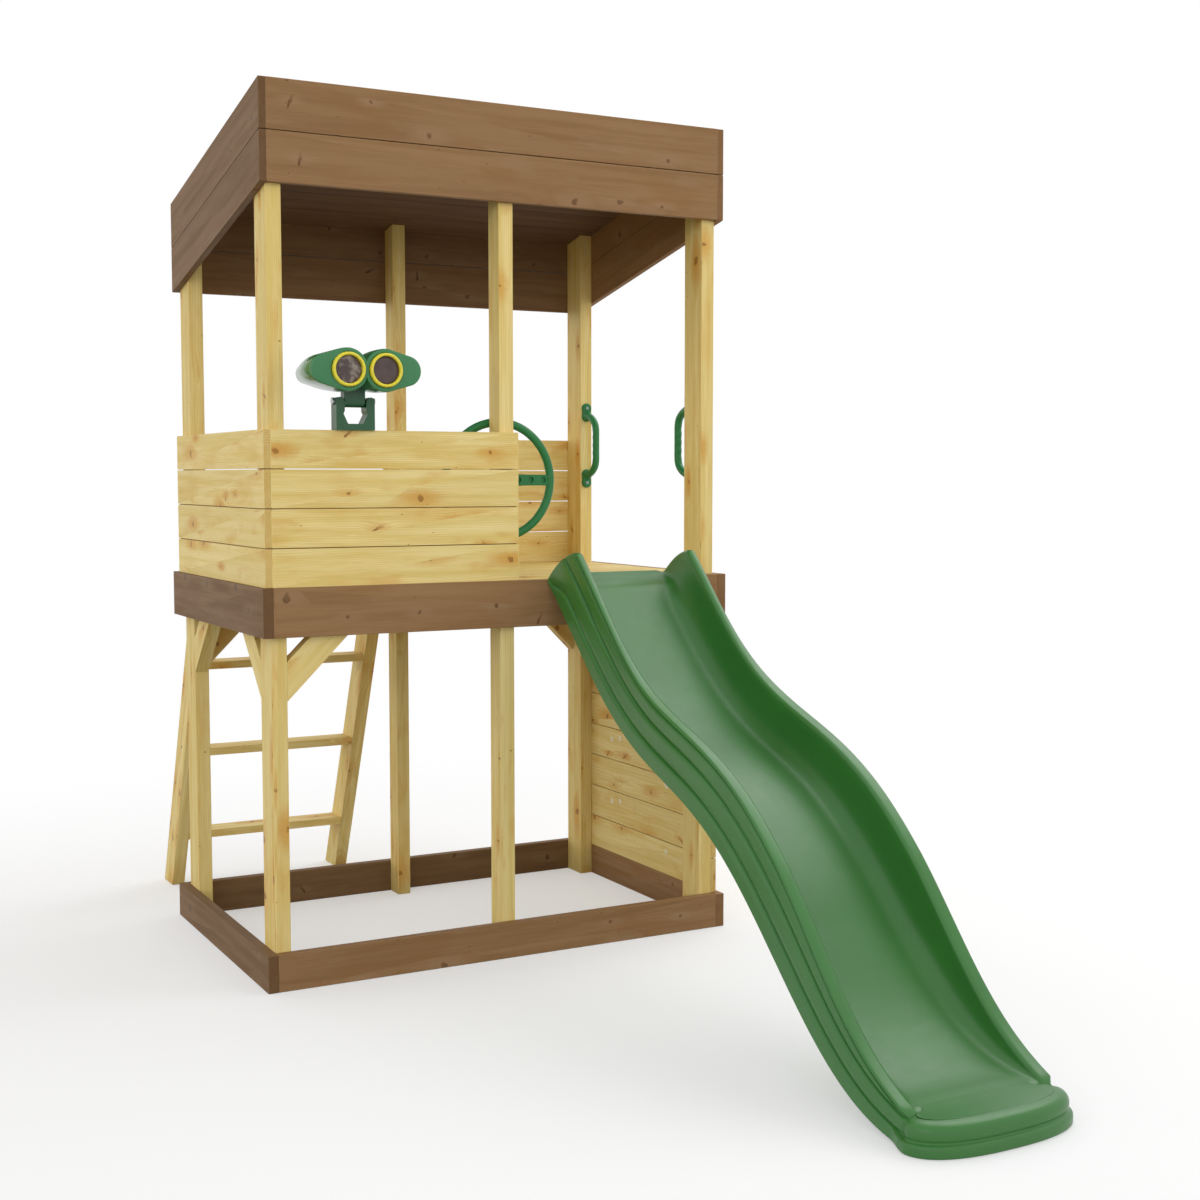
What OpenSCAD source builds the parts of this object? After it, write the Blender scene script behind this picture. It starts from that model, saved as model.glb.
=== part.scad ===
// Timber play tower with a moulded wave slide, ladder, climbing wall and lean-to roof.
// Millimetres, +Z up. Origin: on the ground, under the middle of the front base board.
// The slide leaves the front (-Y), the ladder stands behind (+Y), the entrance is at +X.

/* [Tower] */
// width over the outer faces of the posts
tower_w = 1144; // [1104:8:1200]
// depth over the outer faces of the posts
tower_d = 724; // [692:8:764]
// height of the deck surface
deck_h = 900; // [870:10:940]
// width of every post, seen from the front
post_w = 36; // [32:1:40]
// depth of the four corner posts
post_d = 80; // [70:2:90]
// depth of the two middle posts
mid_post_d = 56; // [50:2:60]
// left face of the middle posts, from the left face of the tower
mid_post_x = 555; // [540:5:570]

/* [Boards] */
// thickness of the base and skirt boards
frame_t = 24; // [20:1:28]
// height of the base boards
base_h = 84; // [76:2:92]
// height of the skirt boards
skirt_h = 110; // [100:2:120]
// thickness of the light wall boards
panel_t = 15; // [13:1:18]
// height of one light wall board
panel_board_h = 85; // [80:1:88]
// gap between the light wall boards
panel_gap = 2; // [1.5:0.5:3]
// thickness of the deck boards
deck_t = 18; // [16:1:22]
// width of a deck board
deck_board_w = 86; // [82:1:88]
// height of the deck joists
joist_h = 68; // [60:2:72]

/* [Roof] */
// thickness of the roof boards
roof_t = 16; // [14:1:18]
// height of one roof board
roof_board_h = 110; // [104:1:116]
// top edge of the roof at the front
roof_front_z = 1997; // [1960:4:2040]
// top edge of the roof at the back
roof_back_z = 1832; // [1800:4:1860]
// thickness of the roof sheet
roof_sheet_t = 12; // [10:1:15]
// depth of the roof sheet below the top edge
roof_sheet_drop = 22; // [14:2:30]

/* [Braces] */
// leg of a knee brace along the post and along the skirt
brace_leg = 168; // [156:4:180]
// board width of a knee brace
brace_w = 62; // [56:2:68]
// thickness of a knee brace
brace_t = 34; // [28:2:38]

/* [Ladder] */
// left face of the ladder, from the left face of the tower
ladder_x = 37; // [32:1:42]
// width over both stringers
ladder_w = 512; // [500:2:516]
// thickness of a stringer
stringer_t = 34; // [30:1:38]
// depth of a stringer along the ground
stringer_d = 86; // [80:2:92]
// distance of the ladder foot from the back skirt
ladder_out = 322; // [300:2:340]
// step between the treads
tread_pitch = 248; // [240:2:252]
// thickness of a tread
tread_t = 20; // [18:1:24]
// depth of a tread
tread_d = 78; // [70:2:82]

/* [Slide] */
// left side of the slide, from the left face of the tower
slide_x = 668; // [652:4:688]
// width over both side walls
slide_w = 344; // [320:4:368]
// thickness of a side wall
slide_wall = 32; // [28:1:36]
// height of the side walls, square to the bed
slide_side = 134; // [120:2:140]
// length of the foot of the slide from the tower front
slide_len = 1458; // [1440:6:1500]
// length of the foot in front of the side walls
foot_len = 88; // [80:2:96]
// how far the foot stands out past each side wall
foot_flare = 15; // [8:1:18]
// thickness of the bed
slide_bed = 12; // [10:1:16]
// height of the bed above the lower edge, square to the bed
slide_lift = 36; // [32:1:44]

/* [Fittings] */
// spacing of the two bolts of a grab handle
handle_span = 210; // [200:2:216]
// distance of the root of the grip from the bolt
handle_root = 24; // [20:1:26]
// distance of the grip from the post
handle_out = 58; // [50:1:64]
// diameter of the grip
handle_dia = 26; // [22:1:30]
// height of the middle of the grab handles above the deck
handle_rise = 331; // [306:5:356]
// outer diameter of the steering wheel
wheel_dia = 294; // [276:2:300]
// thickness of the wheel rim
wheel_rim = 20; // [16:1:22]
// height of the steering wheel above the deck
wheel_rise = 235; // [215:5:240]
// diameter of the round recesses in the spoke bar
spoke_hole = 14; // [10:1:16]
// depth of these recesses
spoke_recess = 5; // [3:1:7]
// distance between the centres of the two lenses
lens_gap = 88; // [86:1:96]
// outer diameter of a lens ring
ring_dia = 75; // [70:1:80]
// half height of a barrel at the front
cap_r = 48; // [44:1:49]
// distance of the outer edge of a barrel from its lens centre
cap_out = 85; // [76:1:94]
// length of the binoculars in front of the tilt pin
barrel_front = 92; // [84:2:100]
// length of the binoculars behind the tilt pin
barrel_back = 124; // [100:2:150]
// height of the lens centres above the tilt pin
lens_rise = 65; // [64:1:70]
// height of the tilt pin above the wall
pin_rise = 64; // [62:1:68]
// middle of the binoculars, from the left face of the tower
binocular_x = 193; // [180:1:210]
// radius of a climbing hold
hold_r = 42; // [36:2:44]
// how far a climbing hold stands off the wall
hold_h = 32; // [26:2:40]

/* [Output] */
// which piece is drawn

/* [Hidden] */
$fn = 48;
x0 = -tower_w / 2;
x1 = tower_w / 2;
y0 = frame_t / 2;
y1 = y0 + tower_d;
mid_x = x0 + mid_post_x;
skirt_z = deck_h - skirt_h;
panel_pitch = panel_board_h + panel_gap;
panel_rows = 4;
wall_top = deck_h + panel_rows * panel_pitch - panel_gap;
roof_run = tower_d + 2 * roof_t;
roof_fall = (roof_front_z - roof_back_z) / roof_run;
pine = [0.84, 0.70, 0.47];
brown = [0.40, 0.27, 0.19];
green = [0.16, 0.46, 0.27];
dark = [0.10, 0.12, 0.11];
yellow = [0.95, 0.80, 0.15];
steel = [0.62, 0.63, 0.65];

// Helpers

// a box given by two opposite corners
module block(a, b) {
  translate(a) cube(b - a);
}

// a shape drawn in Y (sideways) and Z (up), given thickness from x = a to x = b
module slab_x(a, b) {
  translate([a, 0, 0]) rotate([90, 0, 90]) linear_extrude(height = b - a) children();
}

// a shape drawn in X and Z, given thickness from y = a to y = b
module slab_y(a, b) {
  translate([0, b, 0]) rotate([90, 0, 0]) linear_extrude(height = b - a) children();
}

// top edge of the roof at depth y
function roof_top(y) = roof_front_z - (y - y0 + roof_t) * roof_fall;

// underside of the roof sheet at depth y
function ceiling(y) = roof_top(y) - roof_sheet_drop - roof_sheet_t;

// Posts

module post(x, ya, yb) {
  slab_x(x, x + post_w)
    polygon([[ya, 0], [yb, 0], [yb, ceiling(yb)], [ya, ceiling(ya)]]);
}

module post_front_left() {
  color(pine) post(x0, y0, y0 + post_d);
}

module post_front_mid() {
  color(pine) difference() {
    post(mid_x, y0, y0 + mid_post_d);
    translate([wheel_x, y0 + bolt_seat, wheel_z]) rotate([-90, 0, 0])
      cylinder(h = mid_post_d, r = bolt_r + bolt_play);
  }
}

module post_front_right() {
  color(pine) post(x1 - post_w, y0, y0 + post_d);
}

module post_back_left() {
  color(pine) post(x0, y1 - post_d, y1);
}

module post_back_mid() {
  color(pine) post(mid_x, y1 - mid_post_d, y1);
}

module post_back_right() {
  color(pine) post(x1 - post_w, y1 - post_d, y1);
}

// Base frame and deck skirt

module board_front(z, h, t) {
  block([x0, y0 - t, z], [x1, y0, z + h]);
}

module board_back(z, h, t) {
  block([x0, y1, z], [x1, y1 + t, z + h]);
}

module board_left(z, h, t) {
  block([x0 - t, y0 - t, z], [x0, y1 + t, z + h]);
}

module board_right(z, h, t) {
  block([x1, y0 - t, z], [x1 + t, y1 + t, z + h]);
}

module base_front() {
  color(brown) board_front(0, base_h, frame_t);
}

module base_back() {
  color(brown) board_back(0, base_h, frame_t);
}

module base_left() {
  color(brown) board_left(0, base_h, frame_t);
}

module base_right() {
  color(brown) board_right(0, base_h, frame_t);
}

module skirt_front() {
  color(brown) board_front(skirt_z, skirt_h, frame_t);
}

module skirt_back() {
  color(brown) board_back(skirt_z, skirt_h, frame_t);
}

module skirt_left() {
  color(brown) board_left(skirt_z, skirt_h, frame_t);
}

module skirt_right() {
  color(brown) board_right(skirt_z, skirt_h, frame_t);
}

// Deck

deck_rows = floor((tower_d + 4) / (deck_board_w + 4));
deck_gap = (tower_d - deck_rows * deck_board_w) / (deck_rows - 1);
joist_z = deck_h - deck_t - joist_h;
joist_xs = [x0 + post_w, mid_x - post_w, (mid_x + x1) / 2, x1 - 2 * post_w];

module joist(x) {
  block([x, y0, joist_z], [x + post_w, y1, joist_z + joist_h]);
}

module deck_joists() {
  color(pine) for (x = joist_xs) joist(x);
}

module post_holes(z, h) {
  block([x0 - 1, y0 - 1, z], [x0 + post_w, y0 + post_d, z + h]);
  block([x0 - 1, y1 - post_d, z], [x0 + post_w, y1 + 1, z + h]);
  block([mid_x, y0 - 1, z], [mid_x + post_w, y0 + mid_post_d, z + h]);
  block([mid_x, y1 - mid_post_d, z], [mid_x + post_w, y1 + 1, z + h]);
  block([x1 - post_w, y0 - 1, z], [x1 + 1, y0 + post_d, z + h]);
  block([x1 - post_w, y1 - post_d, z], [x1 + 1, y1 + 1, z + h]);
}

module deck_boards() {
  color(pine) difference() {
    for (i = [0 : deck_rows - 1]) {
      ya = y0 + i * (deck_board_w + deck_gap);
      block([x0, ya, deck_h - deck_t], [x1, ya + deck_board_w, deck_h]);
    }
    post_holes(deck_h - deck_t - 1, deck_t + 2);
  }
}

// Knee braces at 45 degrees between post and skirt

brace_top = joist_z;
brace_cut = brace_w * sqrt(2);

// drawn with the post face at 0 and the strut going to the +side
module brace_shape() {
  polygon([
    [0, brace_top - brace_leg],
    [brace_leg, brace_top],
    [brace_leg - brace_cut, brace_top],
    [0, brace_top - brace_leg + brace_cut]
  ]);
}

module braces_front() {
  color(pine) {
    translate([x0 + post_w, 0, 0]) slab_y(y0, y0 + brace_t) brace_shape();
    translate([x1 - post_w, 0, 0]) slab_y(y0, y0 + brace_t) mirror([1, 0]) brace_shape();
  }
}

module braces_back() {
  color(pine) {
    translate([x0 + post_w, 0, 0]) slab_y(y1 - brace_t, y1) brace_shape();
    translate([x1 - post_w, 0, 0]) slab_y(y1 - brace_t, y1) mirror([1, 0]) brace_shape();
  }
}

module braces_left() {
  color(pine) {
    translate([0, y0 + post_d, 0]) slab_x(x0, x0 + brace_t) brace_shape();
    translate([0, y1 - post_d, 0]) slab_x(x0, x0 + brace_t) mirror([1, 0]) brace_shape();
  }
}

module braces_right() {
  color(pine) {
    translate([0, y0 + post_d, 0]) slab_x(x1 - brace_t, x1) brace_shape();
    translate([0, y1 - post_d, 0]) slab_x(x1 - brace_t, x1) mirror([1, 0]) brace_shape();
  }
}

// Light wall boards

module front_panel() {
  color(pine) for (i = [0 : panel_rows - 1]) {
    z = deck_h + i * panel_pitch;
    block([x0, y0 - panel_t, z], [mid_x + post_w + 6, y0, z + panel_board_h]);
  }
}

module left_panel() {
  color(pine) for (i = [0 : panel_rows - 1]) {
    z = deck_h + i * panel_pitch;
    block([x0 - panel_t, y0 - panel_t, z], [x0, y1, z + panel_board_h]);
  }
}

module back_panel() {
  color(pine) for (i = [0 : panel_rows - 1]) {
    z = deck_h + i * panel_pitch;
    block([mid_x - 6, y1, z], [x1, y1 + panel_t, z + panel_board_h]);
  }
}

// Climbing wall

wall_rows = 8;
wall_clear = skirt_z - base_h;
wall_board = (wall_clear - (wall_rows - 1) * panel_gap) / wall_rows;

module climbing_wall() {
  color(pine) for (i = [0 : wall_rows - 1]) {
    z = base_h + i * (wall_board + panel_gap);
    block([x1, y0, z], [x1 + panel_t, y1, z + wall_board]);
  }
}

hold_pitch = 2 * (wall_board + panel_gap);
hold_low = base_h + 0.7 * wall_board;
hold_shift = 0.19 * tower_d;
hold_turn = 15;

// one hold: a domed grip on the outer face of the wall
module hold(y, z, turn) {
  translate([x1 + panel_t, (y0 + y1) / 2 + y, z]) rotate([turn, 0, 0]) rotate([0, 90, 0])
    scale([0.8, 1.15, 1]) rotate_extrude($fn = 24)
      polygon([
        [0, 0],
        [hold_r, 0],
        [hold_r, 0.3 * hold_h],
        [0.86 * hold_r, 0.7 * hold_h],
        [0.62 * hold_r, 0.94 * hold_h],
        [0, hold_h]
      ]);
}

module climbing_holds() {
  color(green) {
    for (i = [0 : 3]) hold(-hold_shift, hold_low + i * hold_pitch, hold_turn);
    for (i = [0 : 2]) hold(hold_shift, hold_low + (i + 0.5) * hold_pitch, -hold_turn);
  }
}

// Roof

module roof_course(k) {
  polygon([
    [y0 - roof_t, roof_front_z - k * (roof_board_h + 1.5)],
    [y1 + roof_t, roof_back_z - k * (roof_board_h + 1.5)],
    [y1 + roof_t, roof_back_z - k * (roof_board_h + 1.5) - roof_board_h],
    [y0 - roof_t, roof_front_z - k * (roof_board_h + 1.5) - roof_board_h]
  ]);
}

module roof_left() {
  color(brown) for (k = [0, 1]) slab_x(x0 - roof_t, x0) roof_course(k);
}

module roof_right() {
  color(brown) for (k = [0, 1]) slab_x(x1, x1 + roof_t) roof_course(k);
}

module roof_front() {
  color(brown) for (k = [0, 1]) {
    z = roof_front_z - k * (roof_board_h + 1.5) - roof_board_h;
    block([x0, y0 - roof_t, z], [x1, y0, z + roof_board_h]);
  }
}

module roof_back() {
  color(brown) for (k = [0, 1]) {
    z = roof_back_z - k * (roof_board_h + 1.5) - roof_board_h;
    block([x0, y1, z], [x1, y1 + roof_t, z + roof_board_h]);
  }
}

module roof_sheet() {
  color(brown) slab_x(x0, x1)
    polygon([
      [y0, ceiling(y0)],
      [y1, ceiling(y1)],
      [y1, ceiling(y1) + roof_sheet_t],
      [y0, ceiling(y0) + roof_sheet_t]
    ]);
}

// Ladder

ladder_y = y1 + frame_t;
ladder_foot = ladder_y + ladder_out;
ladder_lean = ladder_out / skirt_z;
ladder_top = deck_h - 6;

module stringer(x) {
  slab_x(x, x + stringer_t)
    polygon([
      [ladder_foot, 0],
      [ladder_foot + stringer_d, 0],
      [ladder_foot + stringer_d - ladder_lean * ladder_top, ladder_top],
      [ladder_y, ladder_top],
      [ladder_y, skirt_z]
    ]);
}

module tread_slots() {
  for (i = [0 : 2]) tread_block(i, x0 + ladder_x + stringer_t / 2, x0 + ladder_x + ladder_w - stringer_t / 2);
}

function tread_z(i) = deck_h - (3 - i) * tread_pitch - tread_t;
function tread_y(i) = ladder_foot - ladder_lean * tread_z(i) + 3;

module tread_block(i, xa, xb) {
  block([xa, tread_y(i), tread_z(i)], [xb, tread_y(i) + tread_d, tread_z(i) + tread_t]);
}

module ladder_stringer_left() {
  color(pine) difference() {
    stringer(x0 + ladder_x);
    tread_slots();
  }
}

module ladder_stringer_right() {
  color(pine) difference() {
    stringer(x0 + ladder_x + ladder_w - stringer_t);
    tread_slots();
  }
}

module ladder_treads() {
  color(pine) tread_slots();
}

// Slide
// s runs forward from the tower front; the lower edge falls in a wave and runs out flat

wave_len = 830;
wave_top = 150;
wave_fall = 0.665;
wave_swing = 0.29;
wave_end = wave_top + wave_len;
slide_start = frame_t;
slide_z0 = deck_h - 6;
swing = wave_swing * wave_len / 2 / PI;
last = (wave_fall + wave_swing) / 2;

function steep(s) = s < wave_end
  ? wave_fall + wave_swing * cos(360 * (s - wave_top) / wave_len)
  : last * (1 + cos(180 * min(1, (s - wave_end) / run_out)));

function drop(s) = wave_fall * (s - slide_start)
  + swing * (sin(360 * (s - wave_top) / wave_len) - sin(360 * (slide_start - wave_top) / wave_len));

end_drop = slide_z0 - drop(wave_end);
run_out = end_drop / last;

// height of the lower edge
function under(s) = s < wave_end
  ? slide_z0 - drop(s)
  : s > wave_end + run_out ? 0
  : end_drop - last * (s - wave_end) - last * run_out / PI * sin(180 * (s - wave_end) / run_out);

// factor from a height square to the bed to one measured straight up
function upright(s) = sqrt(1 + steep(s) * steep(s));

// bed above the lower edge, thin at the deck and deep over the foot
function lift(s) = let (a = min(1, (s - slide_start) / 70), b = max(0, min(1, (s - wave_end) / 350)))
  12 + (slide_lift * upright(s) - 12) * a + (foot_top - slide_lift) * b;

// the lip of the foot rounds down over its last part
function lip(s) = let (a = max(0, (s - slide_len + foot_lip) / foot_lip))
  foot_lip * 0.7 * (1 - sqrt(1 - 0.98 * a * a));

function bed(s) = under(s) + lift(s) - lip(s);

// side wall square to the bed, full until the run-out and level with the bed at the foot
function side_h(s) = let (a = max(0, min(1, (s - wave_end) / (foot_s + wall_run - wave_end))))
  slide_side - (slide_side - foot_top - 1) * pow(a, 1.8);

function wall(s) = under(s) + side_h(s) * upright(s) - lip(s);

// top of the side wall, with the rounded ear beside the deck and a short step down to the foot
function rim(s) = s < ear_s
  ? ear_low + (wall(ear_s) - ear_low) * sin(90 * (s - slide_start) / (ear_s - slide_start))
  : s > foot_s ? bed(s) + 1
  : max(bed(s) + 1, wall(s));

// half width: the foot flares out past the walls and is rounded off in plan
function half_w(s) = let (a = max(0, (s - foot_s) / (slide_len + 1 - foot_s)),
    b = max(0, min(1, (s - foot_s) / foot_turn)))
  (slide_w / 2 + foot_flare * b * (2 - b)) * pow(1 - pow(a, foot_round), 1 / foot_round);

foot_top = 57;
foot_s = slide_len - foot_len;
foot_turn = 18;
wall_run = 26;
foot_lip = 16;
foot_round = 2.5;
ear_s = 146;
ear_low = deck_h + 14;
inner = 4;

// half a cross-section from the outer lower corner over the rim and down to the bed:
// [distance from the side, share of the wall height above the bed, drop below that]
function half_section(s) = let (b = bed(s), h = rim(s) - b, r = min(9, h / 4), w = slide_wall + inner) [
  [0, under(s)],
  [0, b + h - r],
  [r / 3, b + h - r / 3],
  [r, b + h],
  [slide_wall - r, b + h],
  [slide_wall - r / 3, b + h - r / 3],
  [slide_wall, b + h - r],
  [w, b + 0.30 * h],
  [w + 6, b + 0.12 * h],
  [w + 18, b + 0.035 * h],
  [w + 40, b]
];

function belly(s) = max(under(s) + 2, s > foot_s ? under(s) + 2 : bed(s) - slide_bed * upright(s));

function across(s, d) = half_w(s) * (1 - 2 * d / slide_w);

function section(s) = let (q = half_section(s), n = len(q)) concat(
  [for (p = q) [-across(s, p[0]), p[1]]],
  [for (i = [n - 1 : -1 : 0]) [across(s, q[i][0]), q[i][1]]],
  [
    [across(s, slide_wall), under(s)],
    [across(s, slide_wall), belly(s)],
    [-across(s, slide_wall), belly(s)],
    [-across(s, slide_wall), under(s)]
  ]
);

// rows of points: close beside the ears, even along the wave, close again round the foot
ear_rows = 8;
ear_step = 16;
ear_end = slide_start + ear_rows * ear_step;
wave_rows = 40;
foot_rows = [0.01, 0.08, 0.16, 0.3, 0.5, 0.68, 0.82, 0.92, 0.98, 1];
slide_rows = concat(
  [for (i = [0 : ear_rows]) slide_start + i * ear_step],
  [for (i = [1 : wave_rows]) ear_end + i * (foot_s - ear_end) / wave_rows],
  [for (a = foot_rows) foot_s + a * foot_len]
);

module slide() {
  n = len(section(slide_start));
  m = len(slide_rows);
  points = [for (s = slide_rows) for (p = section(s)) [x0 + slide_x + slide_w / 2 + p[0], y0 - s, p[1]]];
  sides = [
    for (r = [0 : m - 2]) for (i = [0 : n - 1])
      let (j = (i + 1) % n) each [
        [r * n + i, r * n + j, (r + 1) * n + i],
        [r * n + j, (r + 1) * n + j, (r + 1) * n + i]
      ]
  ];
  back = [for (i = [n - 1 : -1 : 0]) i];
  front = [for (i = [0 : n - 1]) (m - 1) * n + i];
  color(green) polyhedron(points = points, faces = concat(sides, [back, front]), convexity = 10);
}

// Grab handles

handle_pad_r = 14;
handle_pad_t = 10;
handle_neck_r = 11;
handle_bend = 24;

// a round foot on the post, standing out towards +Y
module handle_pad(z) {
  translate([0, 0, z]) rotate([-90, 0, 0]) cylinder(h = handle_pad_t, r = handle_pad_r);
}

// a bolt pad and a root pad at each end, with the grip bent out between the roots
module grab_handle(y, turn) {
  root = handle_span / 2 - handle_root;
  grip = root - handle_bend;
  translate([x1 - post_w / 2, y, deck_h + handle_rise]) rotate([0, 0, turn]) {
    for (k = [-1, 1]) {
      handle_pad(k * handle_span / 2);
      handle_pad(k * root);
      hull() {
        translate([0, handle_neck_r + 1, k * root]) sphere(r = handle_neck_r, $fn = 32);
        translate([0, handle_out, k * grip]) sphere(r = handle_dia / 2, $fn = 32);
      }
    }
    translate([0, handle_out, -grip]) cylinder(h = 2 * grip, r = handle_dia / 2);
  }
}

module grab_handle_front() {
  color(green) grab_handle(y0 + post_d, 0);
}

module grab_handle_back() {
  color(green) grab_handle(y1 - post_d, 180);
}

// Steering wheel

wheel_shift = 30;
wheel_x = mid_x + wheel_shift;
bolt_seat = 20;
bolt_play = 0.08;
wheel_z = deck_h + wheel_rise;
bolt_r = 5;
hub_r = 30;
spoke_w = 26;
wheel_y = y0 + mid_post_d + 4 + wheel_rim / 2;
rim_r = (wheel_dia - wheel_rim) / 2;
spoke_holes = [0.37, 0.61, 0.85];

module steering_wheel() {
  color(green) translate([wheel_x, wheel_y, wheel_z]) rotate([90, 0, 0]) {
    rotate_extrude() translate([rim_r, 0]) circle(r = wheel_rim / 2);
    difference() {
      union() {
        translate([-rim_r, -spoke_w / 2, -wheel_rim / 4]) cube([2 * rim_r, spoke_w, wheel_rim / 2]);
        cylinder(h = 0.8 * wheel_rim, r = hub_r, center = true);
      }
      cylinder(h = 2 * wheel_rim, r = bolt_r + bolt_play, center = true);
      for (k = [-1, 1]) for (f = spoke_holes)
        translate([k * f * rim_r, 0, wheel_rim / 4 - spoke_recess])
          cylinder(h = wheel_rim, r = spoke_hole / 2);
    }
  }
}

module wheel_axle() {
  hub = 0.4 * wheel_rim + 0.5;
  color(steel) translate([wheel_x, 0, wheel_z]) rotate([-90, 0, 0]) {
    translate([0, 0, y0 + bolt_seat]) cylinder(h = wheel_y + hub - y0 - bolt_seat, r = bolt_r);
    translate([0, 0, y0 + mid_post_d]) cylinder(h = wheel_y - hub - y0 - mid_post_d, r = 2.8 * bolt_r);
    translate([0, 0, wheel_y + hub]) cylinder(h = 1.2 * bolt_r, r = 2 * bolt_r);
  }
}

// Binoculars

bin_x = x0 + binocular_x;
bin_y = y0 - panel_t / 2;
pin_z = wall_top + pin_rise;
lens_z = pin_z + lens_rise;
pin_r = 4;
pin_play = 0.06;
ear_top = 9;
bracket_w = lens_gap + 2;
bracket_d = bracket_w * 0.38;
neck_w = 0.56 * lens_gap;
neck_r = 0.22 * pin_rise;
neck_play = 0.6;

// seen from the front: ears for the pin and a window under the neck
module bracket_face() {
  ear_x = bracket_w / 2 - ear_top;
  slot_x = neck_w / 2 + neck_play;
  difference() {
    union() {
      translate([-bracket_w / 2, wall_top]) square([bracket_w, pin_rise]);
      for (k = [-1, 1]) translate([k * ear_x, pin_z]) circle(r = ear_top);
    }
    polygon([
      [-slot_x, pin_z + neck_r],
      [-slot_x, pin_z - 1.5 * neck_r],
      [-1.12 * slot_x, pin_z - 2 * neck_r],
      [-0.7 * slot_x, wall_top + neck_r],
      [0.7 * slot_x, wall_top + neck_r],
      [1.12 * slot_x, pin_z - 2 * neck_r],
      [slot_x, pin_z - 1.5 * neck_r],
      [slot_x, pin_z + neck_r]
    ]);
  }
}

module pin_bore() {
  translate([bin_x, bin_y, pin_z]) rotate([0, 90, 0])
    cylinder(h = 2 * bracket_w, r = pin_r + pin_play, center = true);
}

module binocular_bracket() {
  color(green) difference() {
    translate([bin_x, 0, 0]) slab_y(bin_y - bracket_d / 2, bin_y + bracket_d / 2) bracket_face();
    pin_bore();
  }
}

module binocular_pin() {
  color(steel) translate([bin_x, bin_y, pin_z]) rotate([0, 90, 0]) {
    translate([0, 0, -bracket_w / 2 - 1]) cylinder(h = bracket_w + 2, r = pin_r);
    for (k = [0, 1]) mirror([0, 0, k]) translate([0, 0, bracket_w / 2]) cylinder(h = 1.2 * pin_r, r = 2 * pin_r);
  }
}

ring_r = ring_dia / 2;
ring_face = 0.24 * ring_r;
ring_h = 0.32 * ring_r;
seat_h = 0.2 * ring_r;
back_r = 0.56 * cap_r;

// an egg shape: round at the lens and narrower outwards
module barrel_outline(r, out, r2) {
  hull() {
    circle(r = r);
    translate([out - r2, 0]) circle(r = r2);
  }
}

module barrel_slice(z, r, out, r2) {
  translate([0, 0, z]) linear_extrude(height = 1) barrel_outline(r, out, r2);
}

module barrel() {
  difference() {
    hull() {
      barrel_slice(barrel_front - 1, 0.9 * cap_r, 0.94 * cap_out, 0.62 * cap_r);
      barrel_slice(0.9 * barrel_front, 0.97 * cap_r, cap_out, 0.7 * cap_r);
      barrel_slice(0.3 * barrel_front, 0.97 * cap_r, cap_out, 0.7 * cap_r);
      barrel_slice(-barrel_back, back_r, 0.52 * cap_out, 0.8 * back_r);
    }
    translate([0, 0, barrel_front - seat_h]) cylinder(h = 2 * seat_h, r = ring_r + neck_play / 3);
    translate([0.1 * cap_out, 0, -barrel_back - 1]) cylinder(h = 2 * seat_h, r = 0.75 * back_r);
  }
}

module binocular_body() {
  bridge_h = 0.85 * cap_r;
  color(green) difference() {
    union() {
      for (k = [0, 1]) translate([bin_x, bin_y, lens_z]) mirror([k, 0, 0])
        translate([lens_gap / 2, 0, 0]) rotate([90, 0, 0]) barrel();
      translate([bin_x, bin_y, lens_z]) cube([lens_gap / 2, barrel_front, bridge_h], center = true);
      translate([bin_x, bin_y, pin_z]) rotate([0, 90, 0]) cylinder(h = neck_w, r = neck_r, center = true);
      translate([bin_x - neck_w / 2, bin_y - neck_r, pin_z]) cube([neck_w, 2 * neck_r, lens_rise - bridge_h / 4]);
    }
    pin_bore();
  }
}

module at_lenses() {
  for (k = [-1, 1]) translate([bin_x + k * lens_gap / 2, bin_y - barrel_front + seat_h, lens_z])
    rotate([90, 0, 0]) children();
}

module binocular_rings() {
  color(yellow) at_lenses() difference() {
    cylinder(h = ring_h, r = ring_r);
    translate([0, 0, -1]) cylinder(h = ring_h + 2, r = ring_r - ring_face);
  }
}

module binocular_lenses() {
  color(dark) at_lenses() cylinder(h = ring_h / 2, r = ring_r - ring_face - neck_play / 3);
}

// Output

post_front_left();
post_front_mid();
post_front_right();
post_back_left();
post_back_mid();
post_back_right();
base_front();
base_back();
base_left();
base_right();
skirt_front();
skirt_back();
skirt_left();
skirt_right();
deck_joists();
deck_boards();
braces_front();
braces_back();
braces_left();
braces_right();
front_panel();
left_panel();
back_panel();
climbing_wall();
climbing_holds();
roof_front();
roof_back();
roof_left();
roof_right();
roof_sheet();
ladder_stringer_left();
ladder_stringer_right();
ladder_treads();
slide();
grab_handle_front();
grab_handle_back();
steering_wheel();
wheel_axle();
binocular_bracket();
binocular_body();
binocular_rings();
binocular_lenses();
binocular_pin();
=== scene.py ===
import math
import random

import bmesh
import bpy
from mathutils import Matrix, Vector


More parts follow.
